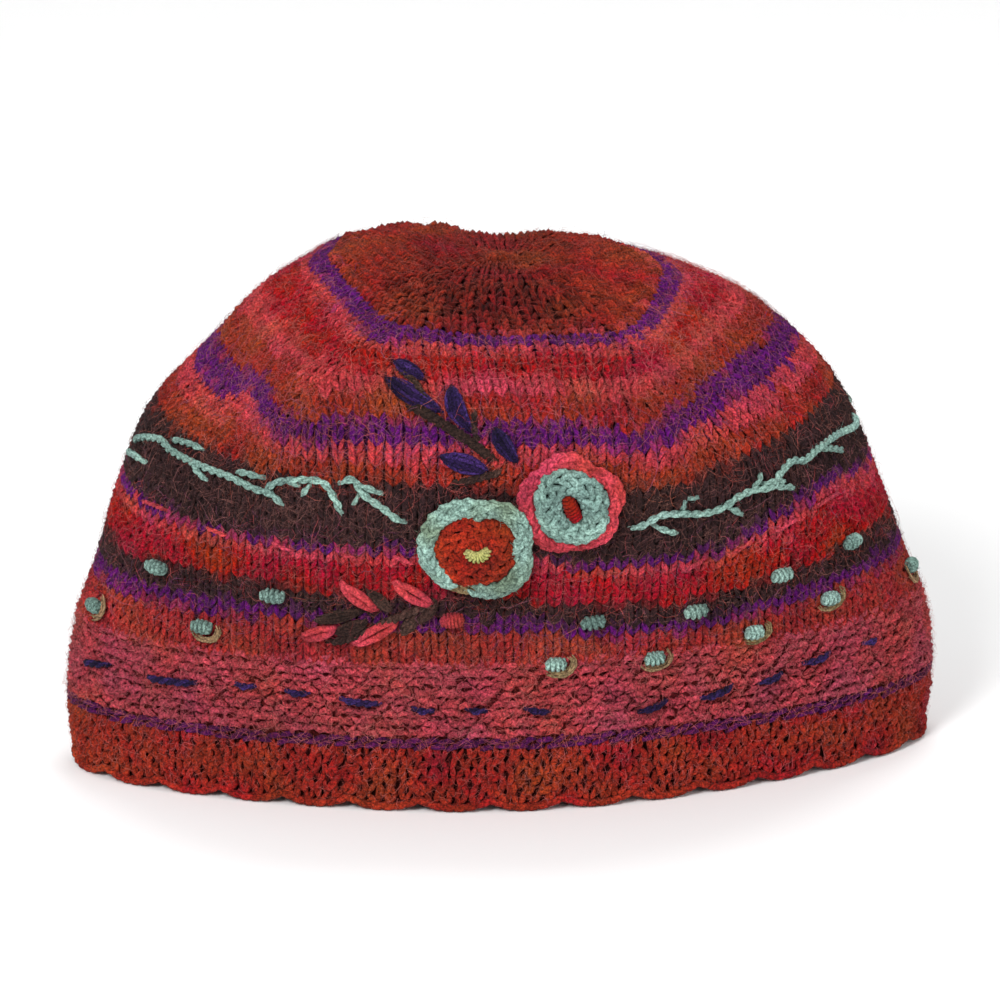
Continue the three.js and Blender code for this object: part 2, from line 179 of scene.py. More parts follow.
def soft_shape(u, along):
    """The dents, and the slight waviness of a hand-made knit, in millimetres out."""
    out = 0.0 * u
    for round_, at, reach_u, reach_a, depth in DENTS + GATHERS:
        across = np.mod(u - round_ + 3, PANELS) - 3
        fall = (across / reach_u) ** 2 + ((along - at) / reach_a) ** 2
        out = out + depth * HALF_DEPTH * np.exp(-fall)
    angle = u * math.pi / 3
    wave = np.sin(5 * angle + 9 * along + 0.6) * np.sin(17 * along + 2 * angle)
    wave = wave + 0.7 * np.sin(11 * angle - 14 * along) * np.sin(29 * along + 1.1)
    keep = np.clip((along - 0.1) / 0.15, 0, 1) * np.clip((1 - along) / 0.1, 0, 1)
    return out + WAVINESS * wave * keep


def fabric(u, along, out=0.0):
    """Points on the fabric's outer face, or out millimetres from it."""
    u, along = np.broadcast_arrays(np.asarray(u, float), np.asarray(along, float))
    far = np.asarray(out, float) + soft_shape(u, along)
    return base_point(u, along) + base_normal(u, along) * far[..., None]


def local_axes(u, along):
    """Place, right (towards lower rounds), up the fabric, and outward unit vectors."""
    e = 2e-3
    u, along = np.broadcast_arrays(np.asarray(u, float), np.asarray(along, float))
    p = fabric(u, along)
    right = fabric(u - e, along) - fabric(u + e, along)
    up = fabric(u, np.minimum(along + e, 1.0)) - fabric(u, np.maximum(along - e, 0.0))
    n = unit(np.cross(right, up))
    n[along > 0.995] = (0, 0, 1)
    right = unit(right)
    return p, right, unit(np.cross(n, right)), n


# Camera, at the photograph's angle.
PIXELS = 1000.0
SENSOR = 36.0
AZIMUTH = math.radians(-7)
ELEVATION = math.radians(17)
DISTANCE = 2.0
LENS = 258.0
AIM = np.array([-0.55, 4.9, 72.0])
BACK = np.array([
    math.sin(AZIMUTH) * math.cos(ELEVATION), -math.cos(AZIMUTH) * math.cos(ELEVATION), math.sin(ELEVATION),
])
SIDE = np.array([math.cos(AZIMUTH), math.sin(AZIMUTH), 0.0])
TOP = np.cross(BACK, SIDE)

camera_data = bpy.data.cameras.new("camera")
camera_data.lens = LENS
camera_data.sensor_width = SENSOR
camera_data.clip_end = 50.0
camera = bpy.data.objects.new("camera", camera_data)
bpy.context.collection.objects.link(camera)
camera.location = Vector(AIM * MM) + Vector(BACK) * DISTANCE
camera.rotation_mode = "QUATERNION"
camera.rotation_quaternion = Vector(-BACK).to_track_quat("-Z", "Y")
bpy.context.scene.camera = camera


def seen_at(points):
    """Pixel position in the photograph's frame of points in millimetres."""
    rel = points - AIM
    depth = DISTANCE / MM - rel @ BACK
    scale = LENS / SENSOR * PIXELS / depth
    return np.stack([PIXELS / 2 + rel @ SIDE * scale, PIXELS / 2 - rel @ TOP * scale], -1)


GRID_U, GRID_A = np.meshgrid(np.linspace(-0.3, 3.3, 260), np.linspace(0.02, 0.98, 260), indexing="ij")
GRID_POINTS = fabric(GRID_U, GRID_A)
GRID_SEEN = seen_at(GRID_POINTS)
GRID_FACING = base_normal(GRID_U, GRID_A) @ BACK > 0.05


def on_fabric(pixels):
    """The round and along of the fabric that the camera sees at some pixels of the photograph."""
    found = []
    for px in np.atleast_2d(np.asarray(pixels, float)):
        far = np.sum((GRID_SEEN - px) ** 2, -1) + np.where(GRID_FACING, 0, 1e9)
        i, j = np.unravel_index(np.argmin(far), far.shape)
        u, a = GRID_U[i, j], GRID_A[i, j]
        for _ in range(3):
            e = 1e-3
            here, du, da = seen_at(fabric(np.array([u, u + e, u]), np.array([a, a, a + e])))
            step = np.linalg.lstsq(np.stack([(du - here) / e, (da - here) / e], 1), px - here, rcond=None)[0]
            u, a = u + np.clip(step[0], -0.05, 0.05), a + np.clip(step[1], -0.02, 0.02)
        found.append((u, a))
    return np.array(found)


class Spot:
    """A place on the fabric that turns millimetres right, up and out into points on its curve."""

    def __init__(self, u, along):
        self.u, self.along = float(u), float(along)
        e = 1e-3
        p, right, up, n = local_axes(np.array([self.u]), np.array([self.along]))
        level = np.array([1.0, 0.0, 0.0]) - n[0] * n[0][0]
        if abs(n[0][0]) > 0.9 or n[0][1] > 0.3:
            level = right[0]
        self.right = level / np.linalg.norm(level)
        self.up = np.cross(n[0], self.right)
        du = (base_point(self.u + e, self.along) - base_point(self.u - e, self.along)) / (2 * e)
        da = (base_point(self.u, self.along + e) - base_point(self.u, self.along - e)) / (2 * e)
        self.inverse = np.linalg.inv(np.array([
            [du @ self.right, da @ self.right],
            [du @ self.up, da @ self.up],
        ]))

    def share(self, x, y):
        d = np.stack([np.asarray(x, float), np.asarray(y, float)], -1) @ self.inverse.T
        return self.u + d[..., 0], self.along + d[..., 1]

    def at(self, x, y, out):
        u, a = self.share(x, y)
        return fabric(u, a, out)

    def normal(self, x, y):
        u, a = self.share(x, y)
        return local_axes(u, a)[3]


def grid_quads(rows, columns):
    """The quads of a closed grid of points, and the column and row of each of their corners."""
    i, k = np.meshgrid(np.arange(rows - 1), np.arange(columns), indexing="ij")
    i = i.ravel()[:, None] + [0, 1, 1, 0]
    k = k.ravel()[:, None] + [0, 0, 1, 1]
    return i * columns + k % columns, np.stack([k, i], -1).astype(float)


class Yarn:
    """Collects short tubes of yarn and makes one mesh of them, with a cell of the UV map for each tube."""

    def __init__(self):
        self.batches = []
        self.tubes = 0

    def add(self, paths, radii, ups, sides=5, share=0.0, tint=None, plies=2, twists=3, tip=0.6, flat=1.0):
        """paths (n, m, 3) and radii (n, m) in mm; ups (n, 3) or (n, m, 3) point away from the fabric."""
        paths = np.asarray(paths, float)
        n, m, _ = paths.shape
        radii = np.broadcast_to(radii, (n, m))
        ups = np.asarray(ups, float)
        ups = np.broadcast_to(ups[:, None, :] if ups.ndim == 2 else ups, paths.shape)
        along = unit(np.gradient(paths, axis=1))
        b = unit(np.cross(along, ups))
        c = np.cross(b, along)
        angle = 2 * np.pi * np.arange(sides) / sides
        ring = b[:, :, None] * np.cos(angle)[:, None] + c[:, :, None] * (flat * np.sin(angle))[:, None]
        ring = paths[:, :, None] + radii[:, :, None, None] * ring
        start = paths[:, 0] - along[:, 0] * (radii[:, 0] * tip)[:, None]
        end = paths[:, -1] + along[:, -1] * (radii[:, -1] * tip)[:, None]
        points = np.concatenate([ring.reshape(n, m * sides, 3), start[:, None], end[:, None]], 1)
        quads, q_uv = grid_quads(m, sides)
        k = np.arange(sides)
        k2 = (k + 1) % sides
        last = m * sides
        zero = 0.0 * k
        tris = np.concatenate([
            np.stack([0 * k + last, k, k2], 1),
            np.stack([0 * k + last + 1, last - sides + k2, last - sides + k], 1),
        ])
        t_uv = np.concatenate([
            np.stack([k + 0.5, zero, k, zero + 0.5, k + 1, zero + 0.5], 1),
            np.stack([k + 0.5, zero + m, k + 1, zero + m - 0.5, k, zero + m - 0.5], 1),
        ]).reshape(-1, 3, 2)
        size = np.array([sides, m], float)
        count = points.shape[1]
        tint = rng.random(n) if tint is None else tint
        share, tint = (np.repeat(np.broadcast_to(v, (n,)).astype(float), count) for v in (share, tint))
        self.batches.append(dict(
            points=points.reshape(-1, 3), n=n, count=count, share=share, tint=tint, plies=plies,
            twists=twists,
            faces=((quads, (q_uv + [0, 0.5]) / size), (tris, t_uv / size)),
        ))
        self.tubes += n

    def hairs(self, count, reach=2.4, thick=0.045):
        """Loose fibres that start on the yarn laid so far."""
        points = np.concatenate([b["points"] for b in self.batches])
        start = points[rng.integers(0, len(points), count)]
        away = unit(start * np.array([1, 2, 0.3]))
        go = unit(rng.normal(0, 1, (count, 3)) + 0.6 * away)
        turned = unit(go + rng.normal(0, 0.6, (count, 3)))
        length = reach * rng.uniform(0.4, 1.0, (count, 1))
        paths = np.stack([start, start + go * length / 2, start + (go + turned) * length / 2], 1)
        paths[..., 2] = np.maximum(paths[..., 2], LOWEST_FIBRE)
        self.add(paths, thick * np.array([1.0, 0.9, 0.5]), away, 3, plies=1, twists=1)

    def mesh(self, name, material):
        cells = math.ceil(math.sqrt(self.tubes))
        faces, uvs, plies = ({4: [], 3: []} for _ in range(3))
        offset = tube = 0
        for b in self.batches:
            index = np.arange(b["n"])
            first = (offset + index * b["count"])[:, None, None]
            cell = np.stack([(tube + index) % cells, (tube + index) // cells], 1)[:, None, None, :]
            for shape, uv in b["faces"]:
                corners = shape.shape[1]
                faces[corners].append((shape[None] + first).reshape(-1, corners))
                uvs[corners].append(((cell + 0.07 + 0.86 * uv[None]) / cells).reshape(-1, 2))
                ply = uv[..., 0] * b["plies"] + uv[..., 1] * b["twists"]
                plies[corners].append(np.broadcast_to(ply[None], (b["n"],) + ply.shape).reshape(-1))
            offset += b["count"] * b["n"]
            tube += b["n"]
        points, share, tint = (
            np.concatenate([b[key] for b in self.batches]) for key in ("points", "share", "tint")
        )
        return make_mesh(
            name, points, np.concatenate(faces[4]), np.concatenate(faces[3]), np.concatenate(uvs[4] + uvs[3]),
            material, share, tint, np.concatenate(plies[4] + plies[3]),
        )

    def piece(self, name, material, node=None, hairs=0):
        """Lays hairs on the yarn, makes its mesh, and hides the CAD node that it stands for."""
        if hairs:
            self.hairs(hairs)
        made = self.mesh(name, material)
        if node:
            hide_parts(node)


def make_mesh(name, points, quads, tris, uvs, material, share, tint, ply=None):
    """One smooth-shaded object from arrays, with points in millimetres, that rides on the hat."""
    mesh = bpy.data.meshes.new(name)
    quads = np.asarray(quads, np.int32).reshape(-1, 4)
    tris = np.asarray(tris, np.int32).reshape(-1, 3)
    mesh.vertices.add(len(points))
    mesh.vertices.foreach_set("co", (np.asarray(points) * MM).astype(np.float32).ravel())
    loops = np.concatenate([quads.ravel(), tris.ravel()])
    mesh.loops.add(len(loops))
    mesh.loops.foreach_set("vertex_index", loops)
    starts = np.concatenate([4 * np.arange(len(quads)), 4 * len(quads) + 3 * np.arange(len(tris))])
    mesh.polygons.add(len(starts))
    mesh.polygons.foreach_set("loop_start", starts.astype(np.int32))
    mesh.polygons.foreach_set("use_smooth", np.ones(len(starts), bool))
    mesh.update(calc_edges=True)
    layer = mesh.uv_layers.new(name="OFBake")
    layer.data.foreach_set("uv", np.asarray(uvs, np.float32).ravel())
    for key, value, domain in (("share", share, "POINT"), ("tint", tint, "POINT"), ("ply", ply, "CORNER")):
        if value is not None:
            values = mesh.attributes.new(key, "FLOAT", domain).data
            values.foreach_set("value", np.asarray(value, np.float32))
    mesh.materials.append(WOOLS[material])
    obj = bpy.data.objects.new(name, mesh)
    bpy.context.collection.objects.link(obj)
    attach(obj, "root")
    return obj


# Materials, kept by name.
WOOLS = {}


def rgb(*screen):
    """A colour from screen values to linear ones."""
    shares = [v / 255 for v in screen]
    return (*(v / 12.92 if v <= 0.04045 else ((v + 0.055) / 1.055) ** 2.4 for v in shares), 1.0)


class Nodes:
    """Short ways to add and join shader nodes."""

    def __init__(self, name):
        self.material = bpy.data.materials.new(name)
        self.material.use_nodes = True
        self.tree = self.material.node_tree
        self.tree.nodes.clear()

    def add(self, kind, inputs=None, **settings):
        node = self.tree.nodes.new(kind)
        for setting, value in settings.items():
            setattr(node, setting, value)
        for key, value in (inputs or {}).items():
            if isinstance(value, bpy.types.NodeSocket):
                self.tree.links.new(value, node.inputs[key])
            else:
                node.inputs[key].default_value = value
        return node

    def shade(self, inputs):
        shader = self.add("ShaderNodeBsdfPrincipled", inputs)
        self.add("ShaderNodeOutputMaterial", {"Surface": shader.outputs[0]})
        return self.material

    def math(self, operation, a, b=0.0, clamp=False):
        node = self.add("ShaderNodeMath", {0: a, 1: b}, operation=operation, use_clamp=clamp)
        return node.outputs[0]

    def value(self, name):
        return self.add("ShaderNodeAttribute", attribute_name=name).outputs["Fac"]

    def noise(self, scale, detail=2.0, rough=0.5):
        where = self.add("ShaderNodeTexCoord").outputs["Object"]
        return self.add(
            "ShaderNodeTexNoise", {"Vector": where, "Scale": scale, "Detail": detail, "Roughness": rough},
        ).outputs["Fac"]

    def ramp(self, factor, stops):
        node = self.add("ShaderNodeValToRGB", {"Fac": factor})
        elements = node.color_ramp.elements
        while len(elements) > 1:
            elements.remove(elements[-1])
        elements[0].position, elements[0].color = stops[0]
        for position, colour in stops[1:]:
            elements.new(position).color = colour
        return node.outputs["Color"]


def wool(name, stops=None, colour=None, second=None, spread=0.28, heather=0.65, low=0.0, high=1.0,
         wobble=0.006, painted_shade_factor=1.0, fade=0.0):
    """Fuzzy wool: striped by stops over the share of the fabric, or one colour with a second in patches.

    The tint of a strand changes its brightness by spread, and mixes in a pale colour by fade; in places the
    tint also carries painted shade. Heather is the strength of the fine flecks, wobble how far a stripe's
    edge wanders, and the dimming factor below one darkens the whole wool as painted shade.
    """
    n = Nodes(name)
    if stops:
        share = n.value("share")
        drift = n.math("MULTIPLY", n.math("SUBTRACT", n.noise(45.0, 4.0, 0.6), 0.5), 2.6 * wobble)
        place = n.math("ADD", share, drift)
        place = n.math("DIVIDE", n.math("SUBTRACT", place, low), high - low, clamp=True)
        tone = n.ramp(place, [((p - low) / (high - low), c) for p, c in stops])
    else:
        tone = n.ramp(n.noise(70.0, 2.0), [(0.42, colour), (0.62, second or colour)])
    flecks = n.noise(1700.0, 2.0, 0.7)
    # A dimming factor below one darkens the whole range of the flecks: painted shade.
    dark, pale = painted_shade_factor * (1 - heather), painted_shade_factor * (1 + heather)
    light = n.ramp(flecks, [
        (0.37, (dark, dark, dark, 1)), (0.5, (painted_shade_factor, painted_shade_factor, painted_shade_factor, 1)),
        (0.63, (pale, 0.98 * pale, 0.98 * pale, 1)),
    ])
    tint = n.value("tint")
    if fade:
        faded = n.math("MULTIPLY", tint, fade, clamp=True)
        tone = n.add("ShaderNodeMix", {0: faded, 6: tone, 7: PALE}, data_type="RGBA").outputs[2]
    mixed = n.add(
        "ShaderNodeMix", {0: 1.0, 6: tone, 7: light}, data_type="RGBA", blend_type="MULTIPLY",
    ).outputs[2]
    bright = n.math("ADD", n.math("MULTIPLY", tint, 2 * spread), 1 - spread)
    patches = n.math("ADD", n.math("MULTIPLY", n.noise(38.0, 2.0), 0.5), 0.75)
    bright = n.math("MULTIPLY", bright, patches)
    ply = n.math("SINE", n.math("MULTIPLY", n.value("ply"), 2 * math.pi))
    # The plies' twist makes the colour lighter on the plies and darker in the grooves between them: painted
    # light and shade.
    bright = n.math("MULTIPLY", bright, n.math("ADD", n.math("MULTIPLY", ply, 0.13), 1.0))
    hue = n.math("ADD", n.math("MULTIPLY", n.noise(60.0, 2.0), 0.05), 0.475)
    coloured = n.add("ShaderNodeHueSaturation", {"Hue": hue, "Value": bright, "Color": mixed}).outputs[0]
    fine = n.math("MULTIPLY", n.noise(2600.0, 2.0, 0.7), 1.2)
    height = n.math("ADD", n.math("MULTIPLY", ply, 0.35), fine)
    bump = n.add("ShaderNodeBump", {"Strength": 0.8, "Distance": 0.0004, "Height": height}).outputs[0]
    rough = n.math("ADD", n.math("MULTIPLY", flecks, 0.12), 0.84, clamp=True)
    WOOLS[name] = n.shade({
        "Base Color": coloured, "Roughness": rough, "Normal": bump,
        "Sheen Weight": 0.02, "Sheen Roughness": 0.5, "Specular IOR Level": 0.1,
    })


RUST = rgb(130, 32, 21)
WALL_RUST = rgb(138, 36, 32)
CROWN_RUST = rgb(124, 32, 20)
MID_RUST = rgb(112, 28, 18)
DEEP_RUST = rgb(86, 19, 14)
ORANGE = rgb(131, 36, 20)
CORAL = rgb(166, 50, 54)
BAND_CORAL = rgb(156, 54, 60)
PINK = rgb(146, 56, 66)
CRIMSON = rgb(140, 7, 18)
PURPLE = rgb(76, 9, 86)
DULL_PURPLE = rgb(64, 16, 50)
BROWN = rgb(43, 26, 27)
MINT = rgb(128, 158, 148)
BLUE = rgb(42, 26, 70)
YELLOW = rgb(178, 174, 114)
BEIGE = rgb(128, 110, 78)
STEM = rgb(48, 33, 29)
PALE = rgb(172, 114, 106)

# Where each stripe ends, in millimetres along the fabric, and its colour.
WALL_STRIPES = [
    (57, WALL_RUST), (61.5, PURPLE), (70, BROWN), (81, CRIMSON), (84.5, CORAL), (87, PURPLE), (108, BROWN),
    (114.5, ORANGE), (120.6, CORAL), (128.8, PURPLE), (138.5, ORANGE), (146.5, CORAL), (156.5, CRIMSON),
    (161.6, CORAL), (170, PURPLE),
]
CROWN_STRIPES = [(165, PURPLE), (168.5, CORAL), (190, CROWN_RUST), (220, MID_RUST)]


def stripe_stops(stripes, first):
    """Ramp stops in shares of the fabric's length, with soft edges between the stripes."""
    soft = 0.9
    stops = [(first / FABRIC_LENGTH, stripes[0][1])]
    for (end, colour), (_, following) in zip(stripes[:-1], stripes[1:]):
        stops.append(((end - soft) / FABRIC_LENGTH, colour))
        stops.append(((end + soft) / FABRIC_LENGTH, following))
    return stops


WALL = dict(stops=stripe_stops(WALL_STRIPES, 43), low=0.19, high=0.78)
CROWN = dict(stops=stripe_stops(CROWN_STRIPES, 160), low=0.7, high=1.0)
BAND = dict(colour=BAND_CORAL, second=PINK)
HEM_STOPS = [(0.0, RUST), (0.083, RUST), (0.087, DULL_PURPLE), (0.092, DULL_PURPLE), (0.099, PURPLE)]
FUZZ = dict(spread=0.45, heather=0.1)
wool("striped_wool", **WALL)
wool("crown_wool", **CROWN, spread=0.38)
wool("band_wool", **BAND)
wool("hem_wool", HEM_STOPS, high=0.1, wobble=0.004)
wool("striped_fuzz", **WALL, **FUZZ, fade=0.3)
wool("crown_fuzz", **CROWN, **FUZZ, fade=0.16)
wool("band_fuzz", **BAND, **FUZZ, fade=0.3)
wool("hem_fuzz", colour=RUST, second=BAND_CORAL, **FUZZ, fade=0.3)
wool("lining_wool", [
    (0.0, DEEP_RUST), (0.08, DEEP_RUST), (0.1, CORAL), (0.2, CORAL), (0.26, RUST), (0.3, BROWN),
    (0.34, CRIMSON), (0.38, BROWN), (0.49, BROWN), (0.52, ORANGE), (0.56, PURPLE), (0.6, ORANGE),
    (0.68, CRIMSON), (0.74, PURPLE), (0.78, RUST), (1.0, DEEP_RUST),
], spread=0.1, wobble=0.008)
# Sheet under the stitches: darker stripes dimmed to 0.3, as painted shade in the gaps between the stitches.
wool("painted_gap_shade_wool", [
    (0.0, DEEP_RUST), (0.09, DEEP_RUST), (0.1, CORAL), (0.19, CORAL), (0.2, DEEP_RUST), (0.255, DEEP_RUST),
    (0.28, BROWN), (0.34, CRIMSON), (0.38, BROWN), (0.49, BROWN), (0.52, DEEP_RUST), (0.57, PURPLE),
    (0.6, DEEP_RUST), (0.68, CRIMSON), (0.74, PURPLE), (0.78, DEEP_RUST), (1.0, DEEP_RUST),
], spread=0.1, wobble=0.004, painted_shade_factor=0.3)
wool("mint_wool", colour=MINT, second=rgb(110, 138, 130), heather=0.5)
wool("petal_wool", colour=MINT, second=rgb(112, 132, 112), heather=0.5)
wool("knot_wool", colour=rgb(138, 168, 158), second=rgb(100, 126, 118), heather=0.6)
wool("orange_wool", colour=rgb(146, 46, 20), second=rgb(116, 34, 18), heather=0.6)
wool("yellow_wool", colour=YELLOW, second=rgb(160, 164, 96), heather=0.4)
wool("coral_wool", colour=rgb(180, 60, 68), second=rgb(158, 50, 60), heather=0.5)
wool("crimson_wool", colour=rgb(152, 12, 24), second=rgb(118, 10, 22), heather=0.5)
wool("blue_wool", colour=BLUE, second=rgb(28, 18, 50), heather=0.8, spread=0.6)
wool("brown_wool", colour=STEM, second=rgb(66, 46, 40), heather=0.7)
wool("beige_wool", colour=BEIGE, second=rgb(140, 112, 84), heather=0.5)


# Knit stitches.
PER_PANEL = 22
ROW_STEP = 0.0141
SEAT = 0.55  # how far the stitches are set into the CAD face, so that their tops lie about level with it
PLUMB = 1.2  # how far round the columns move, per share of sway, so that they stay upright in front
LOOK_UP = 0.005  # how far up the fabric a stitch's direction and height are measured
EDGE_GAP = 0.3  # the part of a pitch that stays free beside each corner of the crown
GATHERING = 0.45  # how fast the columns of the crown close up towards its centre
COLUMN = np.arange(PER_PANEL) - (PER_PANEL - 1) / 2
MORE_COLUMNS = np.arange(PER_PANEL + 16) - (PER_PANEL + 15) / 2

# Legs of stitches: across in pitches, up in row heights, and out in millimetres.
KNIT_LEG = (np.array([0.07, 0.23, 0.4]), np.array([-0.24, 0.45, 1.14]), np.array([-0.5, 0.4, -0.4]))
ARC = np.array([-0.42, -0.24, 0.0, 0.24, 0.42])
PURL_ARCS = [
    (ARC, [-0.5, -0.1, 0.14, -0.1, -0.5], [-0.7, 0.35, 0.85, 0.35, -0.7]),
    (ARC + 0.5, 0.9 - np.array([0.3, 0.62, 0.78, 0.62, 0.3]), [-0.7, -0.1, 0.25, -0.1, -0.7]),
]
CROCHET_LEG = ([0.02, 0.22, 0.42], [-0.5, 0.15, 0.75], [-0.4, 0.6, -0.3])
JOINING_LEG = ([-0.5, -0.2, 0.2, 0.5], [-0.2, 0.1, 0.25, 0.0], [-0.4, 0.55, 0.6, -0.4])


def row_lengths(along):
    """For each panel of a row, the lengths along it and the rounds where they were measured."""
    grid = np.linspace(0, PANELS, PANELS * SAMPLES + 1)
    length = np.linalg.norm(np.diff(base_point(grid, min(along, 1.0)), axis=0), axis=1)
    for first in range(0, PANELS * SAMPLES, SAMPLES):
        yield np.concatenate([[0], np.cumsum(length[first:first + SAMPLES])]), grid[first:first + SAMPLES + 1]


crown_pitches = [cut[-1] / PER_PANEL for cut, _ in row_lengths(CROWN_START)]
crown_lengths = [cut[-1] for cut, _ in row_lengths(CROWN_FOOT)]


def knit_rows(first, last, step, offset=0.0, widen=1.0):
    """Places, axes, pitches and heights of the stitches in rows between two shares along the fabric."""
    found = []
    for row in np.arange(first, last, step):
        above = min(row + LOOK_UP, 1.0)
        turn, turn_above = PLUMB * key_values(row)["sway"], PLUMB * key_values(above)["sway"]
        for panel, ((cut, grid), (cut2, grid2)) in enumerate(zip(row_lengths(row), row_lengths(above))):
            if row < CROWN_START:
                pitch = cut[-1] / PER_PANEL
                u = np.interp((COLUMN + offset) * pitch + cut[-1] / 2, cut, grid) + turn
                want = (COLUMN + offset) * cut2[-1] / PER_PANEL + cut2[-1] / 2
                u2 = np.interp(want, cut2, grid2) + turn_above
            else:
                widest = widen * crown_pitches[panel]
                pitch = widest * min(cut[-1] / crown_lengths[panel], 1.0) ** GATHERING
                pitch_above = widest * min(cut2[-1] / crown_lengths[panel], 1.0) ** GATHERING
                want = MORE_COLUMNS * pitch + cut[-1] * (0.5 + turn)
                keep = (want > EDGE_GAP * pitch) & (want < cut[-1] - EDGE_GAP * pitch)
                want_above = MORE_COLUMNS[keep] * pitch_above + cut2[-1] * (0.5 + turn_above)
                u = np.append(np.interp(want[keep], cut, grid), panel)
                u2 = np.append(np.interp(want_above, cut2, grid2), panel)
            found.append((u, u2, np.full(len(u), row), np.full(len(u), pitch)))
    u, u2, a, pitch = (np.concatenate(parts) for parts in zip(*found))
    p, _, _, n = local_axes(u, a)
    rise = fabric(u2, np.minimum(a + LOOK_UP, 1.0)) - p
    tall = np.linalg.norm(rise, axis=1) * step / LOOK_UP
    up = unit(rise - np.sum(rise * n, 1, keepdims=True) * n)
    return dict(u=u, a=a, pitch=pitch, p=p, right=np.cross(up, n), up=up, n=n, tall=tall, count=len(u))


def one_row(at, step, offset, tall):
    """A single row of stitches of one height."""
    rows = knit_rows(at, at + 1e-6, step, offset)
    rows["tall"] = np.full(rows["count"], tall)
    return rows


def painted_dent_shade(u, a):
    """How much painted shade darkens the wool in the soft dent at the front of the crown."""
    return np.exp(-(((u - 1.7) / 0.85) ** 2) - ((a - 0.845) / 0.075) ** 2)


def hump(x, centre, reach, power=2):
    return np.exp(-(((x - centre) / reach) ** power))


def stripe_share(u, a):
    """The share that a stripe's colour is read at: stripes dip and rise a little round the front."""
    dip = 0.02 * hump(u, 1.0, 0.13) + 0.006 * hump(u, 2.0, 0.13) - 0.032 * hump(u, 2.38, 0.17)
    low = 0.036 * hump(u, 1.14, 0.33) * hump(a, 0.33, 0.13, 4)
    right = -0.026 * hump(u, 0.5, 0.25) * hump(a, 0.4, 0.035)
    ring = 0.02 * hump(u, 2.1, 0.35) * hump(a, 0.75, 0.045)
    return a + dip * hump(a, 0.57, 0.06) + low + right + ring


def stitch_paths(rows, leg, jitter, side=1, turn=None, tall=3.6):
    """Paths of one leg of every stitch, mirrored by side, turned, and moved a little at random."""
    across, up, out = leg
    count, pitch = rows["count"], rows["pitch"]
    x = side * np.outer(pitch, across)
    y = np.outer(np.clip(rows["tall"], 2.4, tall), up)
    if turn is not None:
        c, s = np.cos(turn)[:, None], np.sin(turn)[:, None]
        x, y = x * c - y * s, x * s + y * c
    x = x + rng.normal(0, jitter, (count, 1)) * pitch[:, None]
    y = y + rng.normal(0, jitter, (count, 1)) * 3.0
    z = np.asarray(out)[None] + rng.normal(0, 0.12, (count, 1)) - SEAT
    return (rows["p"][:, None] + x[..., None] * rows["right"][:, None]
            + y[..., None] * rows["up"][:, None] + z[..., None] * rows["n"][:, None])


def stockinette(name, material, first, last, node, fatness=0.212, jitter=0.035, loose=1.0, tall=3.6,
                widen=1.0, relief=1.0):
    """Knit stitches from a numbered row of the wall up to a share along the fabric."""
    rows = knit_rows(BAND_TOP + 0.004 + first * ROW_STEP, last, loose * ROW_STEP, widen=widen)
    count = rows["count"]
    yarn = Yarn()
    share = stripe_share(rows["u"], rows["a"]) + rng.normal(0, 0.0035, count)
    across, up, out = KNIT_LEG
    for side in (-1, 1):
        fat = fatness * rows["pitch"] * (1 + rng.normal(0, 0.08, count))
        paths = stitch_paths(rows, (across, up, relief * out), jitter, side, tall=tall)
        # Random tint, lowered by painted shade in the dent at the front of the crown.
        tint = rng.random(count) - 0.62 * painted_dent_shade(rows["u"], rows["a"])
        size = fat[:, None] * np.array([0.7, 1.0, 0.66])
        yarn.add(paths, size, rows["n"], 4, share + 0.004, tint, twists=2, tip=1.3)
    yarn.piece(name, material, node)


stockinette("knit_lower", "striped_wool", 0, 0.40, "side_wall")
stockinette("knit_middle", "striped_wool", 15, 0.61, "side_wall")
stockinette("knit_upper", "striped_wool", 30, 0.76, "side_wall")
stockinette(
    "knit_crown", "crown_wool", 40, 0.994, "crown", fatness=0.225, jitter=0.06, loose=1.3, tall=5.0,
    widen=1.2, relief=1.5,
)

# Gathered centre of the crown.
GATHER_FOLDS = 9
GATHER_REACH = 3.6
gather = Yarn()
middle = base_point(0.0, 1.0)
t = np.linspace(0.15, 1.0, 5)
for k in range(GATHER_FOLDS):
    angle = 2 * math.pi * k / GATHER_FOLDS + 0.2
    path = middle + np.stack([
        GATHER_REACH * t * math.cos(angle), GATHER_REACH * t * math.sin(angle), 0.9 - 1.5 * t**2,
    ], 1)
    path[:, 0] += 0.5 * np.sin(3 * t) * math.sin(angle)
    gather.add(path[None], np.array([0.7, 1.0, 1.0, 0.9, 0.6]), np.array([[0, 0, 1.0]]), 6, 0.95)
gather.piece("crown_gather", "crown_wool")

# Bumpy band: rows of purl arcs, each set half a stitch over from the last.
BAND_ROWS = 8
band = Yarn()
band_step = (BAND_TOP + 0.006 - HEM_TOP) / BAND_ROWS
for r in range(BAND_ROWS):
    rows = one_row(HEM_TOP + 0.007 + (r + 0.5) * band_step, band_step, 0.5 * (r % 2), 2.9)
    for arc in PURL_ARCS:
        lean = rng.normal(0.1, 0.22, rows["count"])
        paths = stitch_paths(rows, arc, 0.09, turn=lean)
        fat = 0.92 * (1 + rng.normal(0, 0.12, rows["count"]))
        band.add(paths, fat[:, None] * np.array([0.6, 0.95, 1.1, 0.95, 0.6]), rows["n"], 4, rows["a"])
band.piece("band_bumps", "band_wool", "stitch_band")


# Crocheted hem: rows of short leaning stitches that fan out to a corded, scalloped edge.
SCALLOP_DEPTH = 2.4
SCALLOPS = 5
HEM_ROWS = 6
HEM_PITCH = 3.75
HEM_TALL = 3.0
LOWEST_CORD = 1.12  # the middle of the cord stays this far above the floor


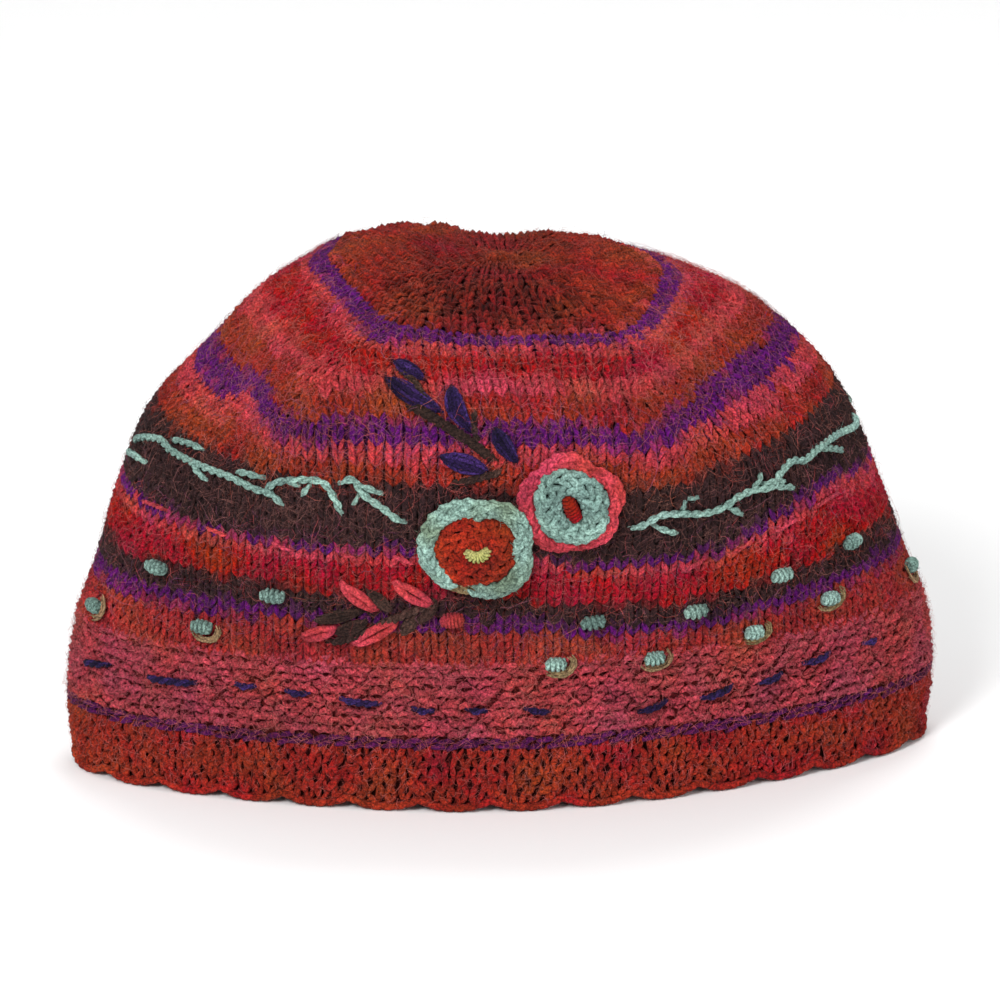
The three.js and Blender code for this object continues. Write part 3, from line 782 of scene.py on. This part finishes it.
def rim_places(count):
    """Evenly spaced rounds at the rim, count in each panel, and the place of each within its scallop."""
    t = np.arange(count) / count
    u = [np.interp(t * cut[-1], cut, grid) for cut, grid in row_lengths(HEM_TOP / 2)]
    return np.concatenate(u), np.tile((t * SCALLOPS) % 1.0, PANELS)


def rim_lift(phase):
    return SCALLOP_DEPTH * np.abs(2 * phase - 1) ** 2.2


hem = Yarn()
for r in range(HEM_ROWS):
    u, phase = rim_places(25)
    count = len(u)
    if r % 2:
        u = u + 0.5 * PANELS / count
        phase = (phase + 0.1) % 1.0
    share = (r + 0.35) / 6.4
    foot = (rim_lift(phase) + 2.1) / FABRIC_LENGTH
    a = foot + (HEM_TOP - 0.002 - foot) * share
    p, right, _, n = local_axes(u, a)
    n = unit(n * np.array([1, 1, 0.4]))
    rows = dict(
        p=p, right=right, up=np.cross(n, right), n=n, count=count, pitch=np.full(count, HEM_PITCH),
        tall=np.full(count, HEM_TALL),
    )
    fan = (phase - 0.5) * 0.9 * (1 - share) + rng.normal(0, 0.16, count)
    for side in (-1, 1):
        paths = stitch_paths(rows, CROCHET_LEG, 0.1, side, fan)
        fat = 0.95 * (1 + rng.normal(0, 0.12, count))
        hem.add(paths, fat[:, None] * np.array([0.7, 1.0, 0.65]), n, 5, a, twists=2, tip=1.1)
u, phase = rim_places(60)
u_ring = np.append(u, PANELS)
lift_ring = rim_lift(np.append(phase, phase[0]))
arch = np.array([-0.25, 0.1, 0.2, 0.1, -0.25])
for row, (inset, height) in enumerate([(0.3, 1.25), (-1.5, 1.1), (-2.9, 1.4)]):
    index = np.arange(0, len(u), 2)[:, None] + row % 2 + np.linspace(-0.35, 2.35, 5)[None]
    uu = np.interp(index, np.arange(len(u_ring)), u_ring)
    uu = np.where(index < 0, index * (u_ring[1] - u_ring[0]), uu)
    lift = np.interp(np.mod(index, len(u)), np.arange(len(lift_ring)), lift_ring)
    drift = np.array([-0.35, -0.15, 0.0, 0.15, 0.35]) * (1 if row % 2 else -1)
    level = unit(base_normal(uu, np.full_like(uu, 0.02)) * np.array([1, 1, 0]))
    path = base_point(uu, (lift + height + drift) / FABRIC_LENGTH) + level * (inset + arch)[..., None]
    path[..., 2] = np.maximum(path[..., 2], LOWEST_CORD)
    hem.add(path, np.array([0.7, 1.0, 1.1, 1.0, 0.7]), level, 6, 0.01)
for r in range(2):
    rows = one_row(0.0865 + 0.0075 * r, 0.0075, 0.5 * r, 2.6)
    turn = rng.normal(0.05, 0.15, rows["count"])
    paths = stitch_paths(rows, JOINING_LEG, 0.08, turn=turn)
    hem.add(paths, np.array([0.6, 0.9, 0.9, 0.6]), rows["n"], 4, 0.094, twists=2)
hem.piece("hem_crochet", "hem_wool", "hem_edging")


def lining(name, material, depth, count, columns, first, bumps=False):
    """A closed sheet some millimetres inside the fabric's outer face, plain or with purl bumps."""
    uu, aa = np.meshgrid(np.linspace(0, PANELS, columns, endpoint=False), np.linspace(first, 0.999, count))
    out = np.full_like(aa, -depth)
    if bumps:
        row, column = np.indices(aa.shape)
        out = out - 0.55 * ((row + column) % 2) - 0.35 * (row % 2)
    quads, uv = grid_quads(count, columns)
    uv = 0.01 + 0.98 * (uv / np.array([columns, count - 1]))
    made = make_mesh(
        name, fabric(uu, aa, out).reshape(-1, 3), quads, [], uv.reshape(-1, 2), material,
        stripe_share(uu, aa).ravel(), rng.random(aa.shape).ravel(),
    )


# Inner layers: a sheet painted dark as the shade in the gaps between the stitches outside, and purl bumps
# inside.
lining("knit_underlay", "painted_gap_shade_wool", 1.5, 64, 180, 0.006)
lining("knit_inside", "lining_wool", 2.5, 80, 176, 0.008, bumps=True)


# Crocheted roses.
def ring_yarn(yarn, spot, radius, width, height, count, rows, lean, fat, start=0.0, end=360.0, base=0.35):
    """Rows of short leaning stitches, at some angles round the section of a ring lying on the fabric."""
    step = (end - start) / count
    t = np.linspace(-0.25, 1.3, 4)
    sink = np.array([0.8, 1.0, 1.0, 0.8])
    for row, at in enumerate(rows):
        theta = np.radians(start + step * (np.arange(count)[:, None] + t[None] + 0.5 * (row % 2)))
        side = 1 if row % 2 else -1
        around = np.radians(at + side * lean * (t - 0.5))[None] + rng.normal(0, 0.06, (count, 1))
        middle = radius(theta)
        r = middle + (width / 2 - 0.6) * np.cos(around) * sink
        out = base + height / 2 + (height / 2 - 0.6) * np.sin(around) * sink
        out = out + rng.normal(0, 0.07, (count, 1))
        c, s = np.cos(theta), np.sin(theta)
        paths = spot.at(r * c, r * s, out)
        inside = spot.at(middle * c, middle * s, base + height / 2 - 0.6 + 0 * r)
        size = fat * (1 + rng.normal(0, 0.1, (count, 1))) * np.array([0.55, 1.0, 0.95, 0.5])
        yarn.add(paths, size, unit(paths - inside), 6)


def ring_core(yarn, spot, radius, width, height, start=0.0, end=360.0, base=0.35, thin_ends=False):
    """The body under a ring's stitches, painted almost black as the shade in the gaps between them."""
    theta = np.radians(np.linspace(start, end, 49))
    x, y = radius(theta) * np.cos(theta), radius(theta) * np.sin(theta)
    path = spot.at(x, y, base + height / 2 - 0.35 + 0 * theta)
    size = np.full(len(theta), width / 2 - 0.7)
    if thin_ends:
        size = size * np.clip(np.sin(np.linspace(0.12, math.pi - 0.12, len(theta))) * 2.2, 0, 1)
    up = spot.normal(x, y)
    # A tint of -1.2 makes the core almost black: painted shade seen between the stitches.
    yarn.add(path[None], size, up[None], 10, tint=-1.2, plies=6, twists=60, flat=height / width)


def coil(yarn, spot, length, thick, wraps, lean, base, bend=0.0, centre=(0.0, 0.0), wire=None, tint=None):
    """A bullion knot: a core wrapped in close turns of yarn, straight or bent into an arc."""
    sweep = max(bend, 1e-3) * math.pi
    radius = length / sweep
    sag = radius * (1 - math.cos(sweep / 2))
    wire = wire or 0.56 * length / wraps
    full = thick / 2 - wire * 0.7

    def placed(t, around, r):
        angle = (t - 0.5) * sweep
        x = radius * np.sin(angle)
        y = radius * (1 - np.cos(angle)) - sag / 2
        c, s = math.cos(lean), math.sin(lean)
        x, y = centre[0] + x * c - y * s, centre[1] + x * s + y * c
        turn = angle + lean
        side = r * np.cos(around)
        return x - side * np.sin(turn), y + side * np.cos(turn), base + thick / 2 + r * np.sin(around)

    def swell(t):
        return full * np.sin(np.pi * (0.14 + 0.72 * t)) ** 0.5

    t = np.linspace(0, 1, 9)
    middle = placed(t, 0 * t, 0 * t)
    yarn.add(spot.at(*middle)[None], swell(t), spot.normal(*middle[:2])[None], 8, tint=0.05)
    t = np.linspace(0.02, 0.98, wraps * 9)
    around = 2 * np.pi * wraps * t
    r = swell(t) + 0.1
    turn = spot.at(*placed(t, around, r))
    ups = unit(turn - spot.at(*placed(t, around, 0 * r)))
    yarn.add(turn[None], np.full(len(t), wire), ups[None], twists=3 * wraps, tint=tint)


def cad_spot(node):
    """The place of the fabric at the middle of a CAD ring, so that the dressed ring stays where it is."""
    low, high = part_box(node)
    middle = np.array([(a + b) / 2 for a, b in zip(low, high)]) / MM
    far = np.sum((GRID_POINTS - middle) ** 2, -1)
    i, j = np.unravel_index(np.argmin(far), far.shape)
    return Spot(GRID_U[i, j], GRID_A[i, j])


left_rose = cad_spot("left_rose_petals")
right_rose = cad_spot("right_rose_frill")


def petal(yarn, start, end, size, bow, base, width=5.2, height=4.8):
    """A petal of the left rose, from one angle to another: part of a ring that bows outward."""
    def radius(theta):
        t = (np.degrees(theta) - start) / (end - start)
        return size + bow * (np.sin(np.pi * np.clip(t, 0, 1)) - 0.5)

    ring_core(yarn, left_rose, radius, width - 0.7, height - 0.5, start, end, base, thin_ends=True)
    count = max(int((end - start) / 15), 4)
    ring_yarn(
        yarn, left_rose, radius, width, height, count, [14, 64, 116, 166], 50, 1.0, start + 3, end - 3, base,
    )


def lobed(size, depth, phase):
    """The radius of a ring with five rounded lobes."""
    def radius(theta):
        return size * (1 + depth * (np.abs(np.sin(2.5 * theta + phase)) - 0.5))

    return radius


def inner_radius(theta):
    wave = 0.08 * (np.abs(np.sin(2 * theta + 0.2)) - 0.5)
    return 6.7 * (1 + wave + 0.1 * np.cos(2 * (theta + 1.15)))


petals = Yarn()
petal(petals, 84, 236, 12.5, 1.9, 0.35)
petal(petals, -4, 94, 12.5, 2.8, 1.2)
petal(petals, -98, 10, 12.6, 3.0, 0.6)
faded = Yarn()
petal(faded, 216, 282, 12.7, 0.2, 0.2, 4.0, 3.2)
petals.piece("rose_left_petals", "petal_wool", "left_rose_petals", hairs=520)
faded.piece("rose_left_faded_petal", "beige_wool", hairs=100)

rosette = Yarn()
ring_core(rosette, left_rose, lobed(6.8, 0.1, 0.3), 7.4, 3.9)
ring_yarn(rosette, left_rose, lobed(6.8, 0.1, 0.3), 8.8, 4.8, 11, [6, 40, 74, 108, 142, 172], 46, 1.2)
coil(rosette, left_rose, 4.4, 3.8, 4, 0.2, 0.7, centre=(0.0, 1.1), wire=0.7)
rosette.piece("rose_left_rosette", "orange_wool", "left_rose_rosette", hairs=300)

frill = Yarn()
ring_core(frill, right_rose, lobed(11.6, 0.16, 0.56), 3.6, 2.7)
ring_yarn(frill, right_rose, lobed(11.6, 0.16, 0.56), 4.6, 3.5, 20, [12, 65, 118, 168], 52, 0.92)
frill.piece("rose_right_frill", "coral_wool", "right_rose_frill", hairs=360)

inner_petals = Yarn()
ring_core(inner_petals, right_rose, inner_radius, 6.0, 4.2)
ring_yarn(inner_petals, right_rose, inner_radius, 7.4, 5.3, 12, [5, 43, 81, 119, 157], 50, 1.12)
inner_petals.piece("rose_right_petals", "mint_wool", "right_rose_petals", hairs=300)

knot = Yarn()
coil(knot, left_rose, 7.8, 3.2, 9, 0.15, 2.7, bend=0.95, centre=(0.4, -0.5), wire=0.42, tint=0.7)
knot.piece("rose_left_knot", "yellow_wool", "left_rose_knot")
knot = Yarn()
coil(knot, right_rose, 7.2, 4.0, 8, -1.15, 1.7, bend=0.12, tint=0.6)
knot.piece("rose_right_knot", "crimson_wool", "right_rose_knot")


# Embroidery.
def smooth_path(points):
    """A curve through points (round and along), resampled evenly by its length on the fabric."""
    p = np.asarray(points, float)
    if len(p) > 2:
        q = np.vstack([2 * p[0] - p[1], p, 2 * p[-1] - p[-2]])
        t = np.linspace(0, 1, 12, endpoint=False)[:, None]
        parts = []
        for a, b, c, d in zip(q[:-3], q[1:-2], q[2:-1], q[3:]):
            parts.append(0.5 * (2 * b + (c - a) * t + (2 * a - 5 * b + 4 * c - d) * t**2
                                + (3 * b - a - 3 * c + d) * t**3))
        p = np.vstack(parts + [p[-1:]])
    place = fabric(p[:, 0], p[:, 1])
    cut = np.concatenate([[0], np.cumsum(np.linalg.norm(np.diff(place, axis=0), axis=1))])
    want = np.linspace(0, cut[-1], max(int(cut[-1] / 0.7), 4))
    return np.interp(want, cut, p[:, 0]), np.interp(want, cut, p[:, 1]), want


def rope(yarn, points, thick, out=0.9, pitch=4.2):
    """Two plies of yarn along a path of rounds and alongs, with their ends sunk into the knit."""
    u, a, s = smooth_path(points)
    p, _, _, n = local_axes(u, a)
    side = np.cross(unit(np.gradient(p, axis=0)), n)
    near = np.minimum(s, s[-1] - s)
    lift = out - 1.5 * np.exp(-((near / (0.8 * thick)) ** 2))
    taper = 0.55 + 0.45 * np.clip(near / (1.2 * thick), 0, 1)
    r = 0.22 * thick * taper
    for k in range(2):
        angle = 2 * np.pi * (s / pitch + k / 2)
        path = p + side * (r * np.cos(angle))[:, None] + n * (lift + r * np.sin(angle))[:, None]
        yarn.add(path[None], 0.3 * thick * taper, n[None], 6, plies=3, twists=max(int(s[-1] / 2.0), 1))


def sew(yarn, thick, *pixels, **how):
    """Rope through some pixels of the photograph."""
    rope(yarn, on_fabric(pixels), thick, **how)


def leaf(yarn, tail, head, width, strands=5, out=1.1, thick=1.3):
    """A lazy-daisy leaf between two pixels: strands bowed out from one tip to the other."""
    ends = on_fabric([tail, head])
    a, b = fabric(ends[:, 0], ends[:, 1])
    spot = Spot(*ends.mean(0))
    lean = math.atan2((b - a) @ spot.up, (b - a) @ spot.right)
    t = np.linspace(0, 1, 9)
    x = (t - 0.5) * np.linalg.norm(b - a)
    for side in np.linspace(-1, 1, strands):
        y = side * width / 2 * np.sin(np.pi * t) ** 0.8
        px = x * math.cos(lean) - y * math.sin(lean)
        py = x * math.sin(lean) + y * math.cos(lean)
        high = out + 0.5 * (1 - side * side) - 1.3 * np.exp(-((np.minimum(t, 1 - t) / 0.07) ** 2))
        high = high + rng.normal(0, 0.16) + rng.normal(0, 0.07, len(t))
        size = thick / 2 * (0.6 + 0.4 * np.sin(np.pi * t)) * rng.uniform(0.85, 1.1)
        yarn.add(spot.at(px, py, high)[None], size, spot.normal(px, py)[None], 6, twists=4)


def leaves(yarn, places, **how):
    for tail, head, width in places:
        leaf(yarn, tail, head, width, **how)


blue = Yarn()
leaves(blue, [
    ((386, 378), (443, 413), 4.6), ((394, 362), (424, 380), 3.2), ((452, 386), (472, 433), 4.2),
    ((440, 456), (488, 470), 4.4), ((494, 428), (518, 462), 3.6),
])
blue.hairs(700, reach=3.4)
# Running stitches: the middle and length of each, in pixels. Those at the back go on at the same height.
RUNNING = [
    (99, 663, 25), (173, 679, 50), (246, 684, 22), (298, 691, 25), (361, 700, 42), (423, 709, 22),
    (476, 709, 22), (537, 709, 27), (652, 705, 30), (716, 691, 33), (769, 677, 25), (815, 657, 28),
    (868, 640, 14),
]
for x, y, length in RUNNING:
    dx = 0.5 * length
    dy = 0.5 * length * (-0.42 if x > 600 else 0.12)
    sew(blue, 2.3, (x - dx, y - dy), (x, y), (x + dx, y + dy), out=1.9, pitch=5.0)
for k in range(13):
    u = 3.22 + 0.205 * k
    a = 0.132 + 0.004 * math.sin(1.7 * k)
    half = 0.035 + 0.018 * (k % 3)
    rope(blue, [(u - half, a), (u, a + 0.003), (u + half, a)], 2.3, out=1.9, pitch=5.0)
blue.piece("blue_embroidery", "blue_wool", hairs=260)

stems = Yarn()
sew(stems, 3.0, (405, 404), (430, 417), (464, 437), (497, 462))
sew(stems, 2.2, (412, 400), (438, 420), (470, 444), out=0.7)
sew(stems, 2.2, (396, 368), (415, 384), (434, 412))
sew(stems, 1.9, (476, 408), (474, 428), (480, 446))
sew(stems, 2.4, (448, 484), (470, 480), (506, 470), out=0.6)
sew(stems, 2.8, (326, 642), (362, 632), (396, 616), (438, 598))
leaves(stems, [
    ((314, 620), (362, 609), 3.0), ((334, 632), (368, 620), 3.0), ((367, 588), (392, 610), 3.0),
    ((402, 634), (416, 612), 2.8), ((418, 622), (436, 602), 2.4),
], strands=4, out=0.9)
stems.hairs(620, reach=3.4)
stems.piece("brown_stems", "brown_wool")

coral = Yarn()
leaves(coral, [
    ((341, 581), (378, 608), 2.5), ((394, 580), (432, 602), 2.5), ((353, 642), (398, 618), 2.6),
    ((303, 634), (336, 626), 2.2),
], strands=2, thick=2.3, out=1.6)
coral.hairs(260, reach=3.0)
coil(coral, Spot(*on_fabric([(452, 616)])[0]), 5.6, 4.4, 6, 0.1, -0.2)
for x, y in [
    (155, 506), (217, 532), (282, 547), (350, 557), (403, 560), (693, 566), (742, 547), (786, 525),
    (826, 500),
]:
    tilt = -8 if x > 600 else 5
    sew(coral, 1.4, (x - 13, y - tilt), (x, y - 1), (x + 13, y + tilt), out=0.5, pitch=4.0)
for k in range(11):
    u = 3.2 + 0.25 * k
    rope(coral, [(u - 0.04, 0.381), (u, 0.3835), (u + 0.04, 0.381)], 1.5, out=0.8, pitch=4.0)
coral.piece("coral_leaves", "coral_wool", hairs=200)

vine = Yarn()
for path in [
    [(136, 443), (142, 439), (155, 439), (165, 442), (173, 451), (199, 465), (231, 477), (258, 489),
     (274, 494), (284, 507)],
    [(264, 491), (278, 482), (298, 479), (322, 481), (335, 497), (343, 516)],
    [(338, 484), (353, 479), (363, 493), (383, 507), (397, 518), (407, 523)],
    [(628, 529), (643, 523), (659, 514), (677, 512), (702, 512), (722, 506), (736, 496), (753, 489),
     (769, 487), (777, 475), (789, 462), (802, 461), (816, 449), (835, 435), (852, 426), (850, 412)],
]:
    sew(vine, 2.2, *path, out=1.0, pitch=6.5)
for (x, y), (x2, y2) in [
    ((132, 452), (147, 463)), ((174, 441), (204, 450)), ((194, 465), (208, 481)), ((236, 472), (266, 478)),
    ((312, 483), (302, 496)), ((357, 484), (383, 494)), ((360, 494), (353, 505)), ((286, 481), (300, 486)),
    ((651, 524), (678, 533)), ((681, 511), (686, 499)), ((686, 499), (699, 497)), ((725, 506), (743, 515)),
    ((753, 488), (761, 473)), ((770, 487), (794, 488)), ((816, 450), (841, 452)), ((760, 484), (785, 481)),
]:
    sew(vine, 2.0, (x, y), ((x + x2) / 2, (y + y2) / 2 - 1), (x2, y2), out=1.4, pitch=6.5)
for k in range(9):
    u = 3.3 + 0.29 * k
    a, b = (0.42 + 0.03 * math.sin(0.9 * j + 0.5) for j in (k, k + 1))
    level = (a + b) / 2
    up = 1 if k % 2 else -1
    rope(vine, [(u, a), (u + 0.1, level + 0.012), (u + 0.19, level), (u + 0.3, b)], 2.3, out=1.0)
    rope(vine, [(u + 0.12, level), (u + 0.17, level + 0.022 * up), (u + 0.2, level + 0.035 * up)], 1.9)
vine.piece("mint_vine", "mint_wool", hairs=560)

# Two rows of mint knots, and the beige crescents of loose strands round the lower ones.
UPPER_KNOTS = [(160, 565), (274, 592), (592, 619), (694, 608), (779, 572), (848, 540)]
LOWER_KNOTS = [(99, 606), (204, 624), (555, 661), (653, 655), (752, 629), (827, 596), (906, 566)]
spots = [(Spot(*on_fabric([px])[0]), False, 0.1 * math.sin(px[0])) for px in UPPER_KNOTS]
spots += [(Spot(*on_fabric([px])[0]), True, 0.1 * math.cos(px[0])) for px in LOWER_KNOTS]
spots += [(Spot(3.36 + 0.285 * k, 0.3 + 0.004 * (k % 3)), False, 0.15 * math.sin(2.3 * k)) for k in range(9)]
spots += [(Spot(3.33 + 0.3 * k, 0.215 - 0.003 * (k % 2)), True, 0.15 * math.cos(1.9 * k)) for k in range(9)]
knots = Yarn()
crescents = Yarn()
for spot, lower, lean in spots:
    row = local_axes(np.array([spot.u]), np.array([spot.along]))[1][0]
    lean += math.atan2(row @ spot.up, row @ spot.right)
    coil(knots, spot, 5.2 if lower else 6.2, 3.9, 4, lean, -0.4, bend=0.15, wire=0.62)
    for _ in range(10 if lower else 0):
        theta = np.radians(np.linspace(-160 + 60 * rng.random(), 50 - 60 * rng.random(), 7))
        far = rng.uniform(-0.9, 0.9)
        x = 0.6 + (4.1 + far) * np.cos(theta) + rng.normal(0, 0.12, 7)
        y = -0.4 + (3.3 + far) * np.sin(theta) + rng.normal(0, 0.12, 7)
        path = spot.at(x, y, 0.6 + rng.uniform(0, 0.9) + 0.3 * np.sin(np.linspace(0, math.pi, 7)))
        size = rng.uniform(0.22, 0.4) * np.sin(np.linspace(0.5, math.pi - 0.5, 7))
        crescents.add(path[None], size, spot.normal(x, y)[None], 4, twists=5)
knots.piece("mint_knots", "knot_wool", hairs=380)
crescents.piece("beige_crescents", "beige_wool")


def fuzz(name, material, count, low, high, slot, reach=(2.0, 6.0), lift=1.2, out=0.45, bends=1, curl=0.5):
    """Fine fibres that cross the surface and stand a little proud of it, as narrow tapering ribbons."""
    u = rng.uniform(0, PANELS, count)
    a = rng.uniform(low, high, count)
    keep = rng.random(count) < np.clip((1.04 - a) / 0.4, 0.1, 1)
    u, a = u[keep], a[keep]
    count = len(u)
    p, right, up, n = local_axes(u, a)
    angle = rng.uniform(0, 2 * np.pi, count)
    step = rng.uniform(reach[0], reach[1], count) / (bends + 1)
    turn = rng.normal(0, curl, count)
    rise = lift * rng.random(count) ** 2
    joints = [p + n * (out - SEAT)]
    for k in range(bends + 1):
        go = right * np.cos(angle)[:, None] + up * np.sin(angle)[:, None]
        climb = 0.25 * rise if k else 0.45 + rise
        sag = (step**2 * (2 * k + 1) / 150)[:, None] * n
        joints.append(joints[-1] + go * step[:, None] + n * climb[:, None] - sag)
        angle = angle + turn + rng.normal(0, 0.3, count)
    path = np.stack(joints, 1)
    path[..., 2] = np.maximum(path[..., 2], LOWEST_FIBRE)
    along = unit(np.gradient(path, axis=1))
    spin = rng.uniform(-1.2, 1.2, (count, 1))
    tilted = unit(n + (right * np.cos(3 * spin) + up * np.sin(3 * spin)) * 0.7)
    side = unit(np.cross(along, tilted[:, None]))
    side = side * (0.026 * rng.uniform(0.7, 1.4, count))[:, None, None]
    pairs = bends + 1
    per = 2 * pairs + 1
    edges = np.stack([path[:, :pairs] - side[:, :pairs], path[:, :pairs] + side[:, :pairs]], 2)
    points = np.concatenate([edges.reshape(count, 2 * pairs, 3), path[:, -1:]], 1)
    quads = np.array([[2 * k, 2 * k + 1, 2 * k + 3, 2 * k + 2] for k in range(bends)])
    tip = np.array([[2 * pairs - 2, 2 * pairs - 1, 2 * pairs]])
    flat = np.array([[x, k / pairs] for k in range(pairs) for x in (0, 1)] + [[0.5, 1.0]])
    cells = math.ceil(math.sqrt(count))
    index = np.arange(count)
    cell = np.stack([index % cells, index // cells], 1)[:, None, None, :]
    faces, uvs = [], []
    for shape in (quads, tip):
        faces.append(shape[None] + (index * per)[:, None, None])
        uvs.append(((cell + 0.1 + 0.8 * flat[shape][None]) / cells).reshape(-1, 2))
    tint = rng.random(count) ** 0.5 * 1.6 - 0.3
    share = np.clip(stripe_share(u, a) + rng.normal(0, 0.02, count), low, high)
    made = make_mesh(
        name, points.reshape(-1, 3), *faces, np.concatenate(uvs), material,
        np.repeat(share, per), np.repeat(tint, per),
    )


LONG = dict(bends=3, curl=0.7, lift=1.4)
fuzz("fuzz_wall", "striped_fuzz", 58000, BAND_TOP, 0.75, "striped_wool", reach=(1.5, 5.5))
fuzz("fuzz_wall_long", "striped_fuzz", 7000, BAND_TOP, 0.75, "striped_wool", reach=(6, 14), **LONG)
fuzz("fuzz_crown", "crown_fuzz", 9500, 0.73, 0.995, "crown_wool")
fuzz("fuzz_crown_long", "crown_fuzz", 2200, 0.73, 0.99, "crown_wool", reach=(5, 11), **LONG)
fuzz("fuzz_band", "band_fuzz", 11000, HEM_TOP, BAND_TOP + 0.01, "band_wool", out=1.2)
fuzz("fuzz_hem", "hem_fuzz", 9000, 0.015, 0.1, "hem_wool", out=0.9, reach=(1.5, 4.5), lift=0.8)

# Floor, backdrop and light, in metres.
FLOOR_FRONT = -2.5
FLOOR_BACK = 1.2
FLOOR_SIDE = 3.0
BEND = 0.8
BACKDROP_TOP = 3.0
floor_mesh = bpy.data.meshes.new("floor")
bend = [(math.sin(t), math.cos(t)) for t in np.linspace(0.15, math.pi / 2, 9)]
profile = [(FLOOR_FRONT, 0.0), (FLOOR_BACK, 0.0)]
profile += [(FLOOR_BACK + BEND * s, BEND - BEND * c) for s, c in bend]
profile += [(FLOOR_BACK + BEND, BACKDROP_TOP)]
verts = [(x, y, z) for y, z in profile for x in (-FLOOR_SIDE, FLOOR_SIDE)]
faces = [(2 * i, 2 * i + 1, 2 * i + 3, 2 * i + 2) for i in range(len(profile) - 1)]
floor_mesh.from_pydata(verts, [], faces)
floor_mesh.polygons.foreach_set("use_smooth", [True] * len(faces))
floor = bpy.data.objects.new("floor", floor_mesh)
bpy.context.collection.objects.link(floor)
floor_mesh.materials.append(Nodes("paper").shade({"Base Color": (0.93, 0.93, 0.93, 1), "Roughness": 0.9}))

world = bpy.data.worlds.new("studio")
world.use_nodes = True
sky = world.node_tree.nodes["Background"].inputs
sky["Color"].default_value = (1.0, 1.0, 1.0, 1)
sky["Strength"].default_value = 0.55
bpy.context.scene.world = world
bpy.context.scene.view_settings.view_transform = "Standard"


def area_light(name, place, size, watts):
    """A round lamp that shines on the middle of the hat."""
    data = bpy.data.lights.new(name, "AREA")
    data.shape = "DISK"
    data.size = size
    data.energy = watts
    light = bpy.data.objects.new(name, data)
    bpy.context.collection.objects.link(light)
    light.location = place
    light.rotation_mode = "QUATERNION"
    light.rotation_quaternion = (Vector((0, 0, 0.07)) - Vector(place)).to_track_quat("-Z", "Y")


area_light("key", (-0.8, -1.4, 1.1), 0.6, 30)
area_light("fill", (1.3, -1.2, 0.6), 1.0, 9)
area_light("top", (0.2, 0.5, 1.7), 0.8, 9)
